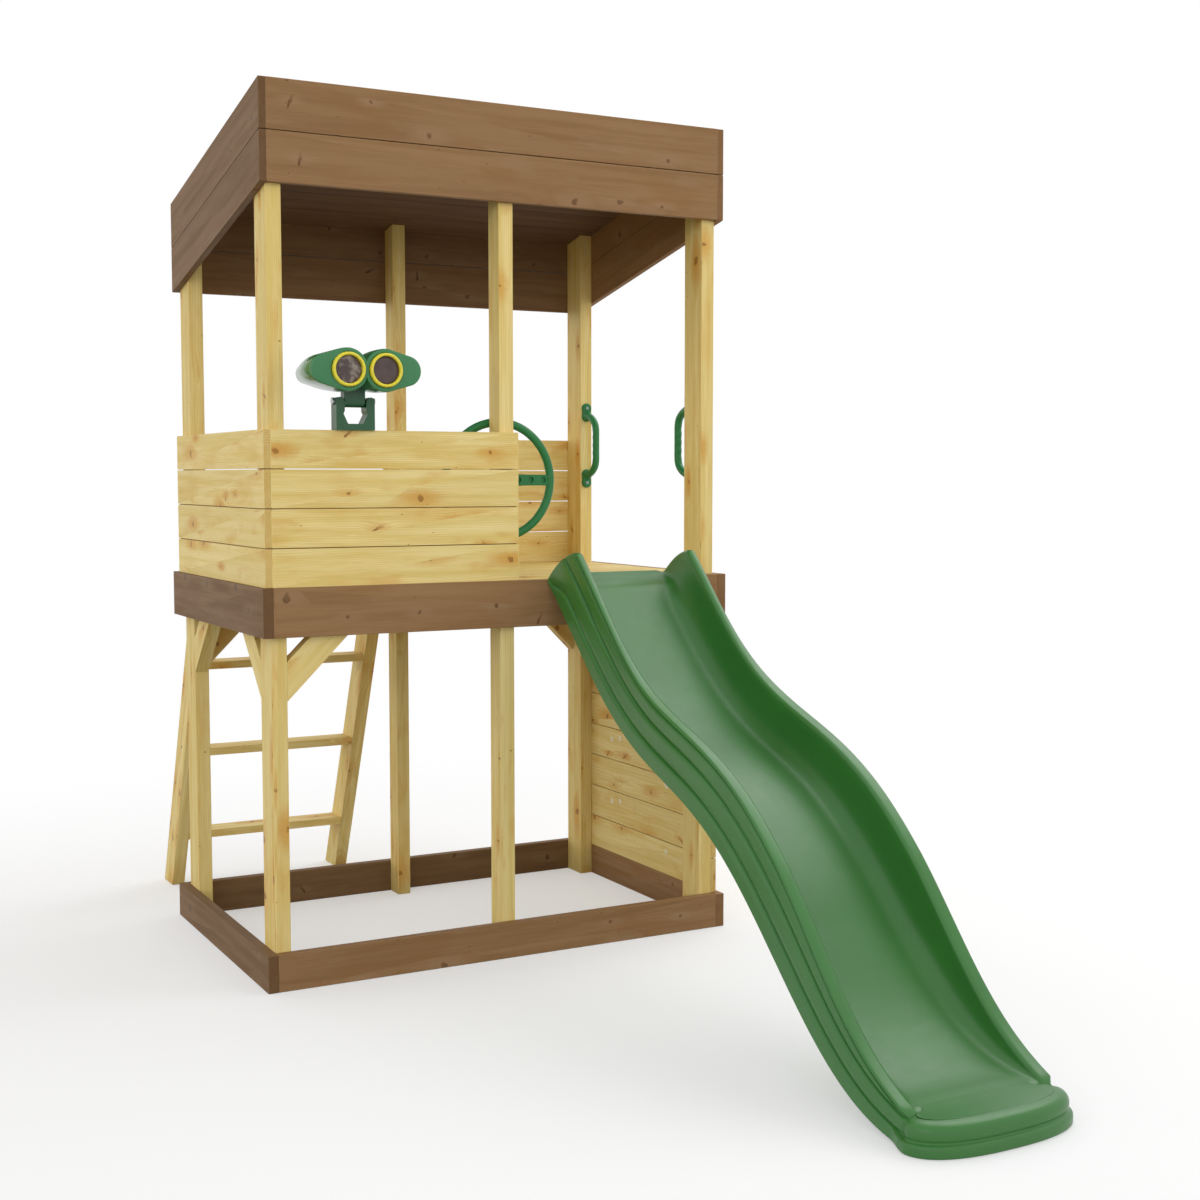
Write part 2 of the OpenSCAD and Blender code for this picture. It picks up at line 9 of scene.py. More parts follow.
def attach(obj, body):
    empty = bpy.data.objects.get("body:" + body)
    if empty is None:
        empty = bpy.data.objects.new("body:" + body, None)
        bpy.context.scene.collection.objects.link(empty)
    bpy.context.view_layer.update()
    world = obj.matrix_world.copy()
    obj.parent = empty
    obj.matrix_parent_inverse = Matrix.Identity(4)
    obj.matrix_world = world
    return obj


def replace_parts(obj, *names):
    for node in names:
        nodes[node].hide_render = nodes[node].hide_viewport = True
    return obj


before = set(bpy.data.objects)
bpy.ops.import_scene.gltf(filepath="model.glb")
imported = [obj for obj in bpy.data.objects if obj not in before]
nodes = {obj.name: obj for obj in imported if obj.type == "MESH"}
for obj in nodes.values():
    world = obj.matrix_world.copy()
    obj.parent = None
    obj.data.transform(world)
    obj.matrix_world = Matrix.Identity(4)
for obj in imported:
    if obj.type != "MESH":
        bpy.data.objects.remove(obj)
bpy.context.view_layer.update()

scene = bpy.context.scene

# Sizes of the CAD part, in metres
X0, X1 = -0.572, 0.572
Y0, Y1 = 0.012, 0.736
DECK = 0.900
WALL_TOP = 1.246
SEAM = 0.002
ROOF_FALL = math.atan((1.997 - 1.832) / (0.724 + 0.032))
LADDER_LEAN = math.atan(0.322 / 0.790)


# Colours

def lin(r, g, b):
    """Linear colour from 0..255 display values."""
    out = []
    for v in (r, g, b):
        v /= 255
        out.append(v / 12.92 if v <= 0.04045 else ((v + 0.055) / 1.055) ** 2.4)
    return (*out, 1.0)


# Shader helpers

class Tree:
    """Small helper that adds and links shader nodes."""

    def __init__(self, tree):
        self.t = tree

    def add(self, kind, **values):
        n = self.t.nodes.new(kind)
        for k, v in values.items():
            setattr(n, k, v)
        return n

    def link(self, a, b):
        self.t.links.new(a, b)

    def put(self, socket, value):
        if isinstance(value, bpy.types.NodeSocket):
            self.link(value, socket)
        else:
            socket.default_value = value

    def math(self, op, a, b=0.0, c=0.0):
        n = self.add("ShaderNodeMath", operation=op)
        self.put(n.inputs[0], a)
        self.put(n.inputs[1], b)
        self.put(n.inputs[2], c)
        return n.outputs[0]

    def times(self, a, b):
        return self.math("MULTIPLY", a, b)

    def times_plus(self, a, b, c):
        return self.math("MULTIPLY_ADD", a, b, c)

    def plus(self, a, b):
        return self.math("ADD", a, b)

    def minus(self, a, b):
        return self.math("SUBTRACT", a, b)

    def over(self, a, b):
        return self.math("DIVIDE", a, b)

    def radius(self, a, b):
        return self.math("SQRT", self.plus(self.times(a, a), self.times(b, b)))

    def vmath(self, op, a, b=(0, 0, 0)):
        n = self.add("ShaderNodeVectorMath", operation=op)
        self.put(n.inputs[0], a)
        self.put(n.inputs[1], b)
        return n.outputs["Value"] if op in ("DOT_PRODUCT", "LENGTH") else n.outputs["Vector"]

    def combine(self, x, y, z):
        n = self.add("ShaderNodeCombineXYZ")
        for s, v in zip(n.inputs, (x, y, z)):
            self.put(s, v)
        return n.outputs[0]

    def split(self, v):
        n = self.add("ShaderNodeSeparateXYZ")
        self.link(v, n.inputs[0])
        return n.outputs[0], n.outputs[1], n.outputs[2]

    def noise(self, vector, scale=1.0, detail=3.0, rough=0.5):
        n = self.add("ShaderNodeTexNoise")
        self.link(vector, n.inputs["Vector"])
        n.inputs["Scale"].default_value = scale
        n.inputs["Detail"].default_value = detail
        n.inputs["Roughness"].default_value = rough
        return n.outputs[0]

    def noise_vector(self, vector, scale, detail=2.0):
        n = self.add("ShaderNodeTexNoise")
        self.link(vector, n.inputs["Vector"])
        n.inputs["Scale"].default_value = scale
        n.inputs["Detail"].default_value = detail
        return self.vmath("SUBTRACT", n.outputs["Color"], (0.5, 0.5, 0.5))

    def step(self, value, low, high, out_low=0.0, out_high=1.0, smooth=True):
        n = self.add("ShaderNodeMapRange")
        n.interpolation_type = "SMOOTHSTEP" if smooth else "LINEAR"
        self.put(n.inputs["Value"], value)
        self.put(n.inputs["From Min"], low)
        self.put(n.inputs["From Max"], high)
        self.put(n.inputs["To Min"], out_low)
        self.put(n.inputs["To Max"], out_high)
        return n.outputs[0]

    def mix(self, factor, a, b):
        n = self.add("ShaderNodeMix", data_type="RGBA")
        self.put(n.inputs[0], factor)
        self.put(n.inputs[6], a)
        self.put(n.inputs[7], b)
        return n.outputs[2]


def new_material(name):
    m = bpy.data.materials.new(name)
    m.use_nodes = True
    m.node_tree.nodes.clear()
    t = Tree(m.node_tree)
    out = t.add("ShaderNodeOutputMaterial")
    bsdf = t.add("ShaderNodeBsdfPrincipled")
    t.link(bsdf.outputs[0], out.inputs[0])
    return m, t, bsdf


def bumps(t, bsdf, height, strength, distance):
    bump = t.add("ShaderNodeBump")
    bump.inputs["Strength"].default_value = strength
    bump.inputs["Distance"].default_value = distance
    t.link(height, bump.inputs["Height"])
    t.link(bump.outputs[0], bsdf.inputs["Normal"])


def timber_group():
    """Solid softwood: u runs along the grain, v over the width and w through the board.
    Growth lines, fibres, knots of several kinds with the grain bent round them, and end grain."""
    g = bpy.data.node_groups.new("softwood", "ShaderNodeTree")
    face = g.interface
    sockets = {
        "INPUT": (("Grain", "Vector"), ("End", "Float"), ("Pale", "Color"), ("Late", "Color"),
                  ("Warm", "Color"), ("Halo", "Color"), ("Knot", "Color"), ("Core", "Color"),
                  ("Knots", "Float")),
        "OUTPUT": (("Color", "Color"), ("Roughness", "Float"), ("Height", "Float")),
    }
    for way, group in sockets.items():
        for name, kind in group:
            face.new_socket(name=name, in_out=way, socket_type="NodeSocket" + kind)
    t = Tree(g)
    i = t.add("NodeGroupInput").outputs
    out = t.add("NodeGroupOutput").inputs
    seed = t.add("ShaderNodeNewGeometry").outputs["Random Per Island"]
    shift = t.combine(t.times(seed, 41.3), t.times(seed, 17.9), t.times(seed, 29.1))
    p = t.vmath("ADD", i["Grain"], shift)
    u, v, w = t.split(p)
    _, gv, gw = t.split(i["Grain"])
    board = t.math("FRACT", t.times(seed, 13.7))

    def stretched(lengthways, crossways):
        return t.combine(t.times(u, lengthways), t.times(v, crossways), t.times(w, crossways))

    # knots: branches that run through the board, some round, some cut along as spikes
    kv = t.times_plus(w, 0.45, v)
    per_u, per_v = 6.4, 10.5
    ku_s, kv_s = t.times(u, per_u), t.times(kv, per_v)
    cells = t.add("ShaderNodeTexVoronoi", voronoi_dimensions="2D", feature="F1")
    t.link(t.combine(ku_s, kv_s, 0.0), cells.inputs["Vector"])
    cells.inputs["Scale"].default_value = 1.0
    cells.inputs["Randomness"].default_value = 0.85
    pick = t.add("ShaderNodeSeparateColor")
    t.link(cells.outputs["Color"], pick.inputs[0])
    chance, size, tone = pick.outputs[0], pick.outputs[1], pick.outputs[2]
    cu, cv, _ = t.split(cells.outputs["Position"])
    wx, wy, _ = t.split(t.noise_vector(p, 110, 2))
    fx, fy, _ = t.split(t.noise_vector(p, 420, 1))
    lu = t.over(t.minus(ku_s, cu), per_u)
    lv = t.over(t.minus(kv_s, cv), per_v)
    ju = t.times_plus(fx, 0.0026, t.times_plus(wx, 0.0090, lu))
    jv = t.times_plus(fy, 0.0026, t.times_plus(wy, 0.0090, lv))
    turn = t.times_plus(tone, 2.4, 0.35)
    ca, sa = t.math("COSINE", turn), t.math("SINE", turn)
    x1 = t.plus(t.times(ju, ca), t.times(jv, sa))
    y1 = t.minus(t.times(jv, ca), t.times(ju, sa))
    spike = t.math("LESS_THAN", size, 0.16)
    radius = t.times_plus(t.times(size, size), 0.0058, 0.0030)
    rx = t.step(spike, 0, 1, t.times(radius, 1.25), 0.0155, False)
    ry = t.step(spike, 0, 1, t.times(radius, 0.85), 0.0030, False)
    ex, ey = t.over(x1, rx), t.over(y1, ry)
    rel = t.radius(ex, ey)
    here = t.math("LESS_THAN", chance, i["Knots"])
    knot = t.times(t.step(rel, 1.25, 0.70), here)
    fade = t.step(t.times(ex, spike), -1.0, 0.9, 1.0, 0.35)
    rim = t.times(t.times(t.step(rel, 0.5, 0.9), t.step(rel, 1.3, 1.0)), here)
    rim = t.times(rim, t.step(ex, 0.5, -0.7))
    near = t.over(t.radius(t.over(ju, 3.0), jv), t.plus(radius, 0.0016))
    halo = t.times(t.step(near, 3.4, 0.6), here)
    bend = t.times(t.step(near, 4.6, 0.5), here)

    # growth lines: distance from a pith beside the board, wandering along the grain
    wander = t.times(t.minus(t.noise(stretched(1.1, 5.0), 1.0, 2, 0.5), 0.5), 0.085)
    side = t.times_plus(seed, 0.10, -0.05)
    ring_v = t.plus(t.plus(gv, side), wander)
    far = t.plus(gw, t.times_plus(t.math("FRACT", t.times(seed, 7.31)), 0.05, 0.03))
    ring_r = t.radius(ring_v, far)
    bent = t.times_plus(bend, 0.0065, ring_r)
    phase = t.math("FRACT", t.times(bent, 225.0))
    late = t.times(t.step(phase, 0.30, 0.86), t.step(phase, 1.0, 0.92))
    soft = t.noise(stretched(2.2, 46), 1.0, 4, 0.62)
    fibre = t.noise(stretched(14, 620), 1.0, 2, 0.6)
    patch = t.noise(stretched(3.4, 11), 1.0, 3, 0.55)
    cloud = t.noise(stretched(9, 22), 1.0, 2, 0.5)

    c = t.mix(t.step(soft, 0.36, 0.70), i["Pale"], i["Late"])
    c = t.mix(t.times(late, t.step(patch, 0.25, 0.75, 0.16, 0.52)), c, i["Warm"])
    c = t.mix(t.times(t.step(patch, 0.50, 0.74), 0.55), c, i["Warm"])
    c = t.mix(t.times(t.step(cloud, 0.58, 0.74), 0.38), c, i["Halo"])
    c = t.mix(t.times(board, 0.30), c, i["Late"])
    c = t.mix(t.times(halo, t.times_plus(tone, 0.40, 0.42)), c, i["Halo"])
    core = t.mix(t.step(rel, 0.85, 0.15), i["Knot"], i["Core"])
    core = t.mix(t.times(spike, 0.7), core, i["Knot"])
    c = t.mix(t.times(t.times(knot, fade), t.times_plus(chance, 0.5, 0.68)), c, core)
    c = t.mix(t.times(rim, 0.5), c, i["Core"])
    # small dark flecks
    speck = t.add("ShaderNodeTexVoronoi", voronoi_dimensions="2D", feature="F1")
    t.link(t.combine(t.times(u, 17), t.times(kv, 31), 0.0), speck.inputs["Vector"])
    speck.inputs["Scale"].default_value = 1.0
    sp = t.add("ShaderNodeSeparateColor")
    t.link(speck.outputs["Color"], sp.inputs[0])
    dot = t.times(t.step(speck.outputs["Distance"], 0.055, 0.02), t.math("LESS_THAN", sp.outputs[0], 0.075))
    c = t.mix(t.times(dot, 0.75), c, i["Knot"])
    # sawn ends show the rings and drink more stain
    grain_end = t.mix(t.step(phase, 0.2, 0.9, 0.25, 0.75), i["Late"], i["Knot"])
    c = t.mix(t.times(i["End"], 0.6), c, grain_end)
    fine = t.add("ShaderNodeHueSaturation")
    t.link(c, fine.inputs["Color"])
    value = t.times(t.step(fibre, 0.25, 0.75, 0.95, 1.05, False), t.times_plus(board, -0.06, 1.03))
    t.link(value, fine.inputs["Value"])
    t.link(fine.outputs[0], out["Color"])
    t.link(t.times_plus(knot, -0.12, t.step(soft, 0.2, 0.8, 0.52, 0.66)), out["Roughness"])
    height = t.plus(t.times(fibre, 0.35), t.times(late, 0.3))
    t.link(t.times_plus(knot, 0.4, height), out["Height"])
    return g


softwood = timber_group()

PINE = {
    "Pale": lin(235, 215, 150), "Late": lin(222, 196, 118), "Warm": lin(214, 172, 86),
    "Halo": lin(210, 152, 66), "Knot": lin(166, 102, 38), "Core": lin(96, 50, 20), "Knots": 0.66,
}
STAIN = {
    "Pale": lin(156, 122, 84), "Late": lin(139, 105, 69), "Warm": lin(144, 103, 62),
    "Halo": lin(158, 126, 92), "Knot": lin(104, 58, 28), "Core": lin(68, 38, 21), "Knots": 0.60,
}
# Painted shade: a darker copy of the stain, standing in for the shade on the left and back boards
STAIN_PAINTED_SHADE = {
    "Pale": lin(130, 100, 68), "Late": lin(114, 86, 57), "Warm": lin(117, 84, 51), "Halo": lin(132, 105, 75),
    "Knot": lin(84, 48, 24), "Core": lin(54, 31, 18), "Knots": 0.60,
}
CEILING = {
    "Pale": lin(112, 88, 70), "Late": lin(98, 75, 58), "Warm": lin(102, 76, 54), "Halo": lin(96, 72, 54),
    "Knot": lin(66, 43, 28), "Core": lin(46, 29, 19), "Knots": 0.40,
}


def timber(name, along, across, palette, fold=None, seam=0.0):
    """Wood material with the grain along one direction. fold mirrors the coordinates, for a pair of braces;
    seam is the width of the boards that a sheet is laid of."""
    m, t, bsdf = new_material(name)
    a, b = Vector(along).normalized(), Vector(across).normalized()
    c = a.cross(b)
    p = t.add("ShaderNodeTexCoord").outputs["Object"]
    normal = t.add("ShaderNodeNewGeometry").outputs["True Normal"]
    end_of = t.math("ABSOLUTE", t.vmath("DOT_PRODUCT", normal, tuple(a)))
    if fold is not None:
        p = t.vmath("ABSOLUTE", t.vmath("SUBTRACT", p, fold))
        end_of = 0.0
    parts = [t.vmath("DOT_PRODUCT", p, tuple(axis)) for axis in (a, b, c)]
    if seam:
        rows = t.over(parts[1], seam)
        number = t.math("FLOOR", rows)
        parts[0] = t.times_plus(number, 3.37, parts[0])
    g = t.add("ShaderNodeGroup", node_tree=softwood)
    t.link(t.combine(*parts), g.inputs["Grain"])
    t.put(g.inputs["End"], t.step(end_of, 0.6, 0.9) if fold is None else 0.0)
    for k, v in palette.items():
        g.inputs[k].default_value = v
    colour = g.outputs["Color"]
    if seam:
        edge = t.math("ABSOLUTE", t.minus(t.math("FRACT", rows), 0.5))
        colour = t.mix(t.step(edge, 0.485, 0.495), colour, palette["Core"])
    t.link(colour, bsdf.inputs["Base Color"])
    t.link(g.outputs["Roughness"], bsdf.inputs["Roughness"])
    bsdf.inputs["Specular IOR Level"].default_value = 0.15
    bumps(t, bsdf, g.outputs["Height"], 0.35, 0.0005)
    return m



def plastic(name, colour, rough, grain=0.0002, scale=900, specular=0.5, coat=0.0, mottle=0.05):
    """Moulded plastic with a fine surface texture and slight unevenness of tone and gloss."""
    m, t, bsdf = new_material(name)
    p = t.add("ShaderNodeTexCoord").outputs["Object"]
    broad = t.noise(p, 7, 3, 0.5)
    tone = t.add("ShaderNodeHueSaturation")
    tone.inputs["Color"].default_value = colour
    t.link(t.step(broad, 0.3, 0.7, 1 - mottle, 1 + mottle, False), tone.inputs["Value"])
    t.link(tone.outputs[0], bsdf.inputs["Base Color"])
    uneven = t.noise(p, 40, 3, 0.6)
    t.link(t.step(uneven, 0.3, 0.7, rough - 0.03, rough + 0.04, False), bsdf.inputs["Roughness"])
    bsdf.inputs["Specular IOR Level"].default_value = specular
    bsdf.inputs["Coat Weight"].default_value = coat
    bsdf.inputs["Coat Roughness"].default_value = 0.08
    bumps(t, bsdf, t.noise(p, scale, 2, 0.5), 0.25, grain)
    return m


def metal(name, colour, rough):
    m, t, bsdf = new_material(name)
    p = t.add("ShaderNodeTexCoord").outputs["Object"]
    shade = t.add("ShaderNodeHueSaturation")
    shade.inputs["Color"].default_value = colour
    t.link(t.step(t.noise(p, 160, 4, 0.6), 0.3, 0.7, 0.88, 1.08, False), shade.inputs["Value"])
    t.link(shade.outputs[0], bsdf.inputs["Base Color"])
    bsdf.inputs["Metallic"].default_value = 1.0
    uneven = t.noise(p, 320, 3, 0.6)
    t.link(t.step(uneven, 0.3, 0.7, rough - 0.06, rough + 0.08, False), bsdf.inputs["Roughness"])
    bumps(t, bsdf, t.noise(p, 700, 3, 0.5), 0.2, 0.0002)
    return m


def lens_material(name, reflection_patches):
    """Dark glossy lens; its flag lays soft pale patches over it, a painted reflection in the glass."""
    m, t, bsdf = new_material(name)
    p = t.add("ShaderNodeTexCoord").outputs["Object"]
    tone = t.noise(p, 34, 2, 0.5)
    c = t.mix(t.step(tone, 0.3, 0.7), lin(66, 52, 52), lin(84, 66, 62))
    if reflection_patches:
        # painted reflection: soft pale patches in the lens colour
        cloud = t.noise(p, 62, 2, 0.45)
        c = t.mix(t.times(t.step(cloud, 0.44, 0.66), 0.6), c, lin(168, 156, 142))
    t.link(c, bsdf.inputs["Base Color"])
    t.link(t.step(tone, 0.3, 0.7, 0.10, 0.16), bsdf.inputs["Roughness"])
    bsdf.inputs["Specular IOR Level"].default_value = 0.5
    return m


slide_green = plastic("slide_green", lin(50, 112, 44), 0.33, 0.00012, 1400, 0.55)
fitting_green = plastic("fitting_green", lin(38, 118, 62), 0.36, 0.00015, 1200, 0.35)
gloss_green = plastic("gloss_green", lin(42, 122, 68), 0.24, 0.00008, 1600, 0.5, 0.3, 0.03)
bracket_green = plastic("bracket_green", lin(28, 86, 48), 0.30, 0.00008, 1600, 0.5, 0.1, 0.03)
hold_green = plastic("hold_green", lin(46, 116, 66), 0.55, 0.0006, 420, 0.4)
ring_yellow = plastic("ring_yellow", lin(232, 216, 48), 0.26, 0.00006, 1600, 0.5, 0.2, 0.02)
# the left lens carries the painted reflection, the right one does not
lens_left = lens_material("lens_left", True)
lens_right = lens_material("lens_right", False)
zinc = metal("zinc_steel", lin(188, 190, 194), 0.34)
zinc_pale = metal("zinc_pale", lin(232, 226, 204), 0.48)


# Mesh helpers

def as_object(name, verts, faces, material, body="tower", smooth=True):
    mesh = bpy.data.meshes.new(name)
    mesh.from_pydata([tuple(v) for v in verts], [], faces)
    mesh.validate()
    mesh.update()
    o = bpy.data.objects.new(name, mesh)
    scene.collection.objects.link(o)
    if material is not None:
        mesh.materials.append(material)
    if smooth:
        mesh.polygons.foreach_set("use_smooth", [True] * len(mesh.polygons))
    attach(o, body)
    return o


def by_angle(o, degrees=35):
    """Smooth shading with sharp edges kept above an angle."""
    bm = bmesh.new()
    bm.from_mesh(o.data)
    bmesh.ops.recalc_face_normals(bm, faces=bm.faces)
    limit = math.radians(degrees)
    for e in bm.edges:
        e.smooth = len(e.link_faces) == 2 and e.calc_face_angle(0) < limit
    for f in bm.faces:
        f.smooth = True
    bm.to_mesh(o.data)
    bm.free()


def bevel(o, width, segments=2, angle=30):
    m = o.modifiers.new("bevel", "BEVEL")
    m.width = width
    m.segments = segments
    m.limit_method = "ANGLE"
    m.angle_limit = math.radians(angle)
    return m


def grid_faces(rows, cols, closed=False, start=0):
    faces = []
    for r in range(rows - 1):
        for c in range(cols if closed else cols - 1):
            d = (c + 1) % cols
            a = start + r * cols
            b = start + (r + 1) * cols
            faces.append((a + c, a + d, b + d, b + c))
    return faces


def end_caps(rows, cols):
    """The first and the last ring of a closed grid, each as one face."""
    return [tuple(reversed(range(cols))), tuple((rows - 1) * cols + i for i in range(cols))]


def lathe(profile, segments=48):
    """Profile of (radius, height) points turned about Z."""
    verts, faces = [], []
    n = len(profile)
    for k in range(segments):
        a = 2 * math.pi * k / segments
        for r, h in profile:
            verts.append((r * math.cos(a), r * math.sin(a), h))
    for k in range(segments):
        j = (k + 1) % segments
        for i in range(n - 1):
            faces.append((k * n + i, j * n + i, j * n + i + 1, k * n + i + 1))
    return verts, faces


def placed(verts, matrix):
    return [matrix @ Vector(v) for v in verts]


def turned(place, degrees, axis):
    return Matrix.Translation(place) @ Matrix.Rotation(math.radians(degrees), 4, axis)


def joined(parts):
    verts, faces = [], []
    for v, f in parts:
        base = len(verts)
        verts += list(v)
        faces += [tuple(base + i for i in q) for q in f]
    return verts, faces


# Timber nodes: welded, eased edges, grain along each board

X, Y, Z = (1, 0, 0), (0, 1, 0), (0, 0, 1)
MID = (0, (Y0 + Y1) / 2, 0)
roof_slope = (0, math.cos(ROOF_FALL), -math.sin(ROOF_FALL))
rung_slope = (0, -math.sin(LADDER_LEAN), math.cos(LADDER_LEAN))
down_right = (-1, 0, 1)
down_side = (0, -1, 1)

# base_back, base_left, skirt_left, roof_back and roof_left take the stain darkened with painted shade
TIMBER = {
    "post_front_left": (Z, Y, PINE), "post_front_mid": (Z, Y, PINE), "post_front_right": (Z, Y, PINE),
    "post_back_left": (Z, Y, PINE), "post_back_mid": (Z, Y, PINE), "post_back_right": (Z, Y, PINE),
    "base_front": (X, Z, STAIN), "base_back": (X, Z, STAIN_PAINTED_SHADE),
    "base_left": (Y, Z, STAIN_PAINTED_SHADE), "base_right": (Y, Z, STAIN),
    "skirt_front": (X, Z, STAIN), "skirt_back": (X, Z, STAIN),
    "skirt_left": (Y, Z, STAIN_PAINTED_SHADE), "skirt_right": (Y, Z, STAIN),
    "deck_joists": (Y, Z, PINE), "deck_boards": (X, Y, PINE),
    "front_panel": (X, Z, PINE), "back_panel": (X, Z, PINE), "left_panel": (Y, Z, PINE),
    "climbing_wall": (Y, Z, PINE),
    "roof_front": (X, Z, STAIN), "roof_back": (X, Z, STAIN_PAINTED_SHADE),
    "roof_left": (roof_slope, Z, STAIN_PAINTED_SHADE), "roof_right": (roof_slope, Z, STAIN),
    "roof_sheet": (X, roof_slope, CEILING),
    "ladder_stringer_left": (rung_slope, Y, PINE), "ladder_stringer_right": (rung_slope, Y, PINE),
    "ladder_treads": (X, Y, PINE),
}
BRACES = {
    "braces_front": (down_right, (1, 0, 1), (0, 0, 0)), "braces_back": (down_right, (1, 0, 1), (0, 0, 0)),
    "braces_left": (down_side, (0, 1, 1), MID), "braces_right": (down_side, (0, 1, 1), MID),
}


def square_up(along, across):
    """The across direction made square to the grain."""
    a, b = Vector(along).normalized(), Vector(across)
    return tuple((b - a * b.dot(a)).normalized())


def dress(name, material, ease=0.0016):
    o = nodes[name]
    weld = o.modifiers.new("weld", "WELD")
    weld.merge_threshold = 0.00002
    bevel(o, ease, 2, 25)
    o.data.materials.clear()
    o.data.materials.append(material)


made = {}
for name, (along, across, palette) in TIMBER.items():
    key = (along, across, id(palette))
    if key not in made:
        seam = 0.112 if name == "roof_sheet" else 0.0
        made[key] = timber(f"timber_{len(made)}", along, square_up(along, across), palette, seam=seam)
    dress(name, made[key])
for name, (along, across, origin) in BRACES.items():
    key = (along, origin)
    if key not in made:
        made[key] = timber(f"brace_{len(made)}", along, across, PINE, fold=origin)
    dress(name, made[key])


def seam_shade_strips(name, along, thin):
    """Recessed strips that close the two lower seams of a wall; their stain, darker than the pine, is painted
    shade in the seams, added to the real shadow of the recess.
    """
    half_t, half_h, short = 0.003, 0.0022, 0.004
    o = nodes[name]
    low, high = list(o.bound_box[0]), list(o.bound_box[6])
    mid = (low[thin] + high[thin]) / 2
    low[thin], high[thin] = mid - half_t, mid + half_t
    low[1 - thin] += short
    high[1 - thin] -= short
    parts = []
    for k in (1, 2):
        z = DECK + k * (WALL_TOP - DECK + SEAM) / 4 - SEAM / 2
        a = [low[0], low[1], z - half_h]
        b = [high[0], high[1], z + half_h]
        parts.append(([(a[0], a[1], a[2]), (b[0], a[1], a[2]), (b[0], b[1], a[2]), (a[0], b[1], a[2]),
                       (a[0], a[1], b[2]), (b[0], a[1], b[2]), (b[0], b[1], b[2]), (a[0], b[1], b[2])],
                      [(3, 2, 1, 0), (4, 5, 6, 7), (0, 1, 5, 4), (1, 2, 6, 5), (2, 3, 7, 6), (3, 0, 4, 7)]))
    v, f = joined(parts)
    # the strips take the darker stain as painted shade
    wood = timber(name + "_seam", along, Z, STAIN)
    as_object(name + "_seams", v, f, wood, smooth=False)


seam_shade_strips("front_panel", X, 1)
seam_shade_strips("left_panel", Y, 0)


# Slide: the same curves as the CAD slide, in metres, with moulded steps, rolled rims and a rounded foot

# length from the tower, height of the walls, of the bed over the lower edge and of the foot
S_LEN, S_SIDE, S_LIFT, S_FOOT = 1.458, 0.134, 0.036, 0.057
S_X, S_W = X0 + 0.668, 0.344
# where the walls end, how far the foot stands out past them and the length of that turn
FOOT_S, FLARE, TURN = 1.370, 0.0147, 0.018
# from here on the bed belongs to the foot
CUT_S = 1.345
# the wave: length, start, mean slope and how much the slope swings
W_LEN, W_TOP, W_FALL, W_SWING = 0.830, 0.150, 0.665, 0.29
W_END = W_TOP + W_LEN
S_0, Z_0 = 0.024, 0.894
SWING = W_SWING * W_LEN / 2 / math.pi
LAST = (W_FALL + W_SWING) / 2


def drop(s):
    return W_FALL * (s - S_0) + SWING * (
        math.sin(2 * math.pi * (s - W_TOP) / W_LEN) - math.sin(2 * math.pi * (S_0 - W_TOP) / W_LEN)
    )


END_DROP = Z_0 - drop(W_END)
RUN_OUT = END_DROP / LAST


def steep(s):
    if s < W_END:
        return W_FALL + W_SWING * math.cos(2 * math.pi * (s - W_TOP) / W_LEN)
    return LAST * (1 + math.cos(math.pi * min(1, (s - W_END) / RUN_OUT)))


def under(s):
    if s < W_END:
        return Z_0 - drop(s)
    if s > W_END + RUN_OUT:
        return 0.0
    turn = RUN_OUT / math.pi
    return END_DROP - LAST * (s - W_END) - LAST * turn * math.sin((s - W_END) / turn)


def upright(s):
    return math.hypot(1, steep(s))


def soft_step(a, b, x):
    t = max(0.0, min(1.0, (x - a) / (b - a)))
    return t * t * (3 - 2 * t)


def bed(s):
    a = soft_step(S_0 - 0.02, S_0 + 0.075, s)
    b = max(0.0, min(1.0, (s - W_END) / 0.350))
    return under(s) + 0.017 + (S_LIFT * upright(s) - 0.017) * a + (S_FOOT - S_LIFT) * b


def side_h(s):
    a = max(0.0, min(1.0, (s - W_END) / (FOOT_S + 0.010 - W_END)))
    return S_SIDE - (S_SIDE - S_FOOT - 0.001) * a ** 1.8


def wall(s):
    return under(s) + side_h(s) * upright(s)


EAR_S, EAR_LOW = 0.146, DECK + 0.006


def rim(s):
    if s < EAR_S:
        return EAR_LOW + (wall(EAR_S) - EAR_LOW) * math.sin(math.pi / 2 * (s - S_0) / (EAR_S - S_0)) ** 0.9
    return max(bed(s) + 0.0005, wall(s))


def bands(s):
    """Heights of the moulded grooves on the outer side; the ear's crest cuts them off."""
    low, k = under(s), upright(s)
    q = 1 - side_h(s) / S_SIDE
    first = 0.15 + 0.85 * soft_step(S_0, 0.12, s)
    return low + (0.040 - 0.033 * q) * k * first, low + (0.088 - 0.070 * q) * k, wall(s) - 0.0092 * k


def flare(s):
    """How far the lowest band stands out as it runs into the flange of the foot."""
    return FLARE * soft_step(1.330, 1.392, s)


def groove(z, at, half, depth):
    q = abs(z - at) / half
    return depth * (1 - q * q * (3 - 2 * q)) if q < 1 else 0.0


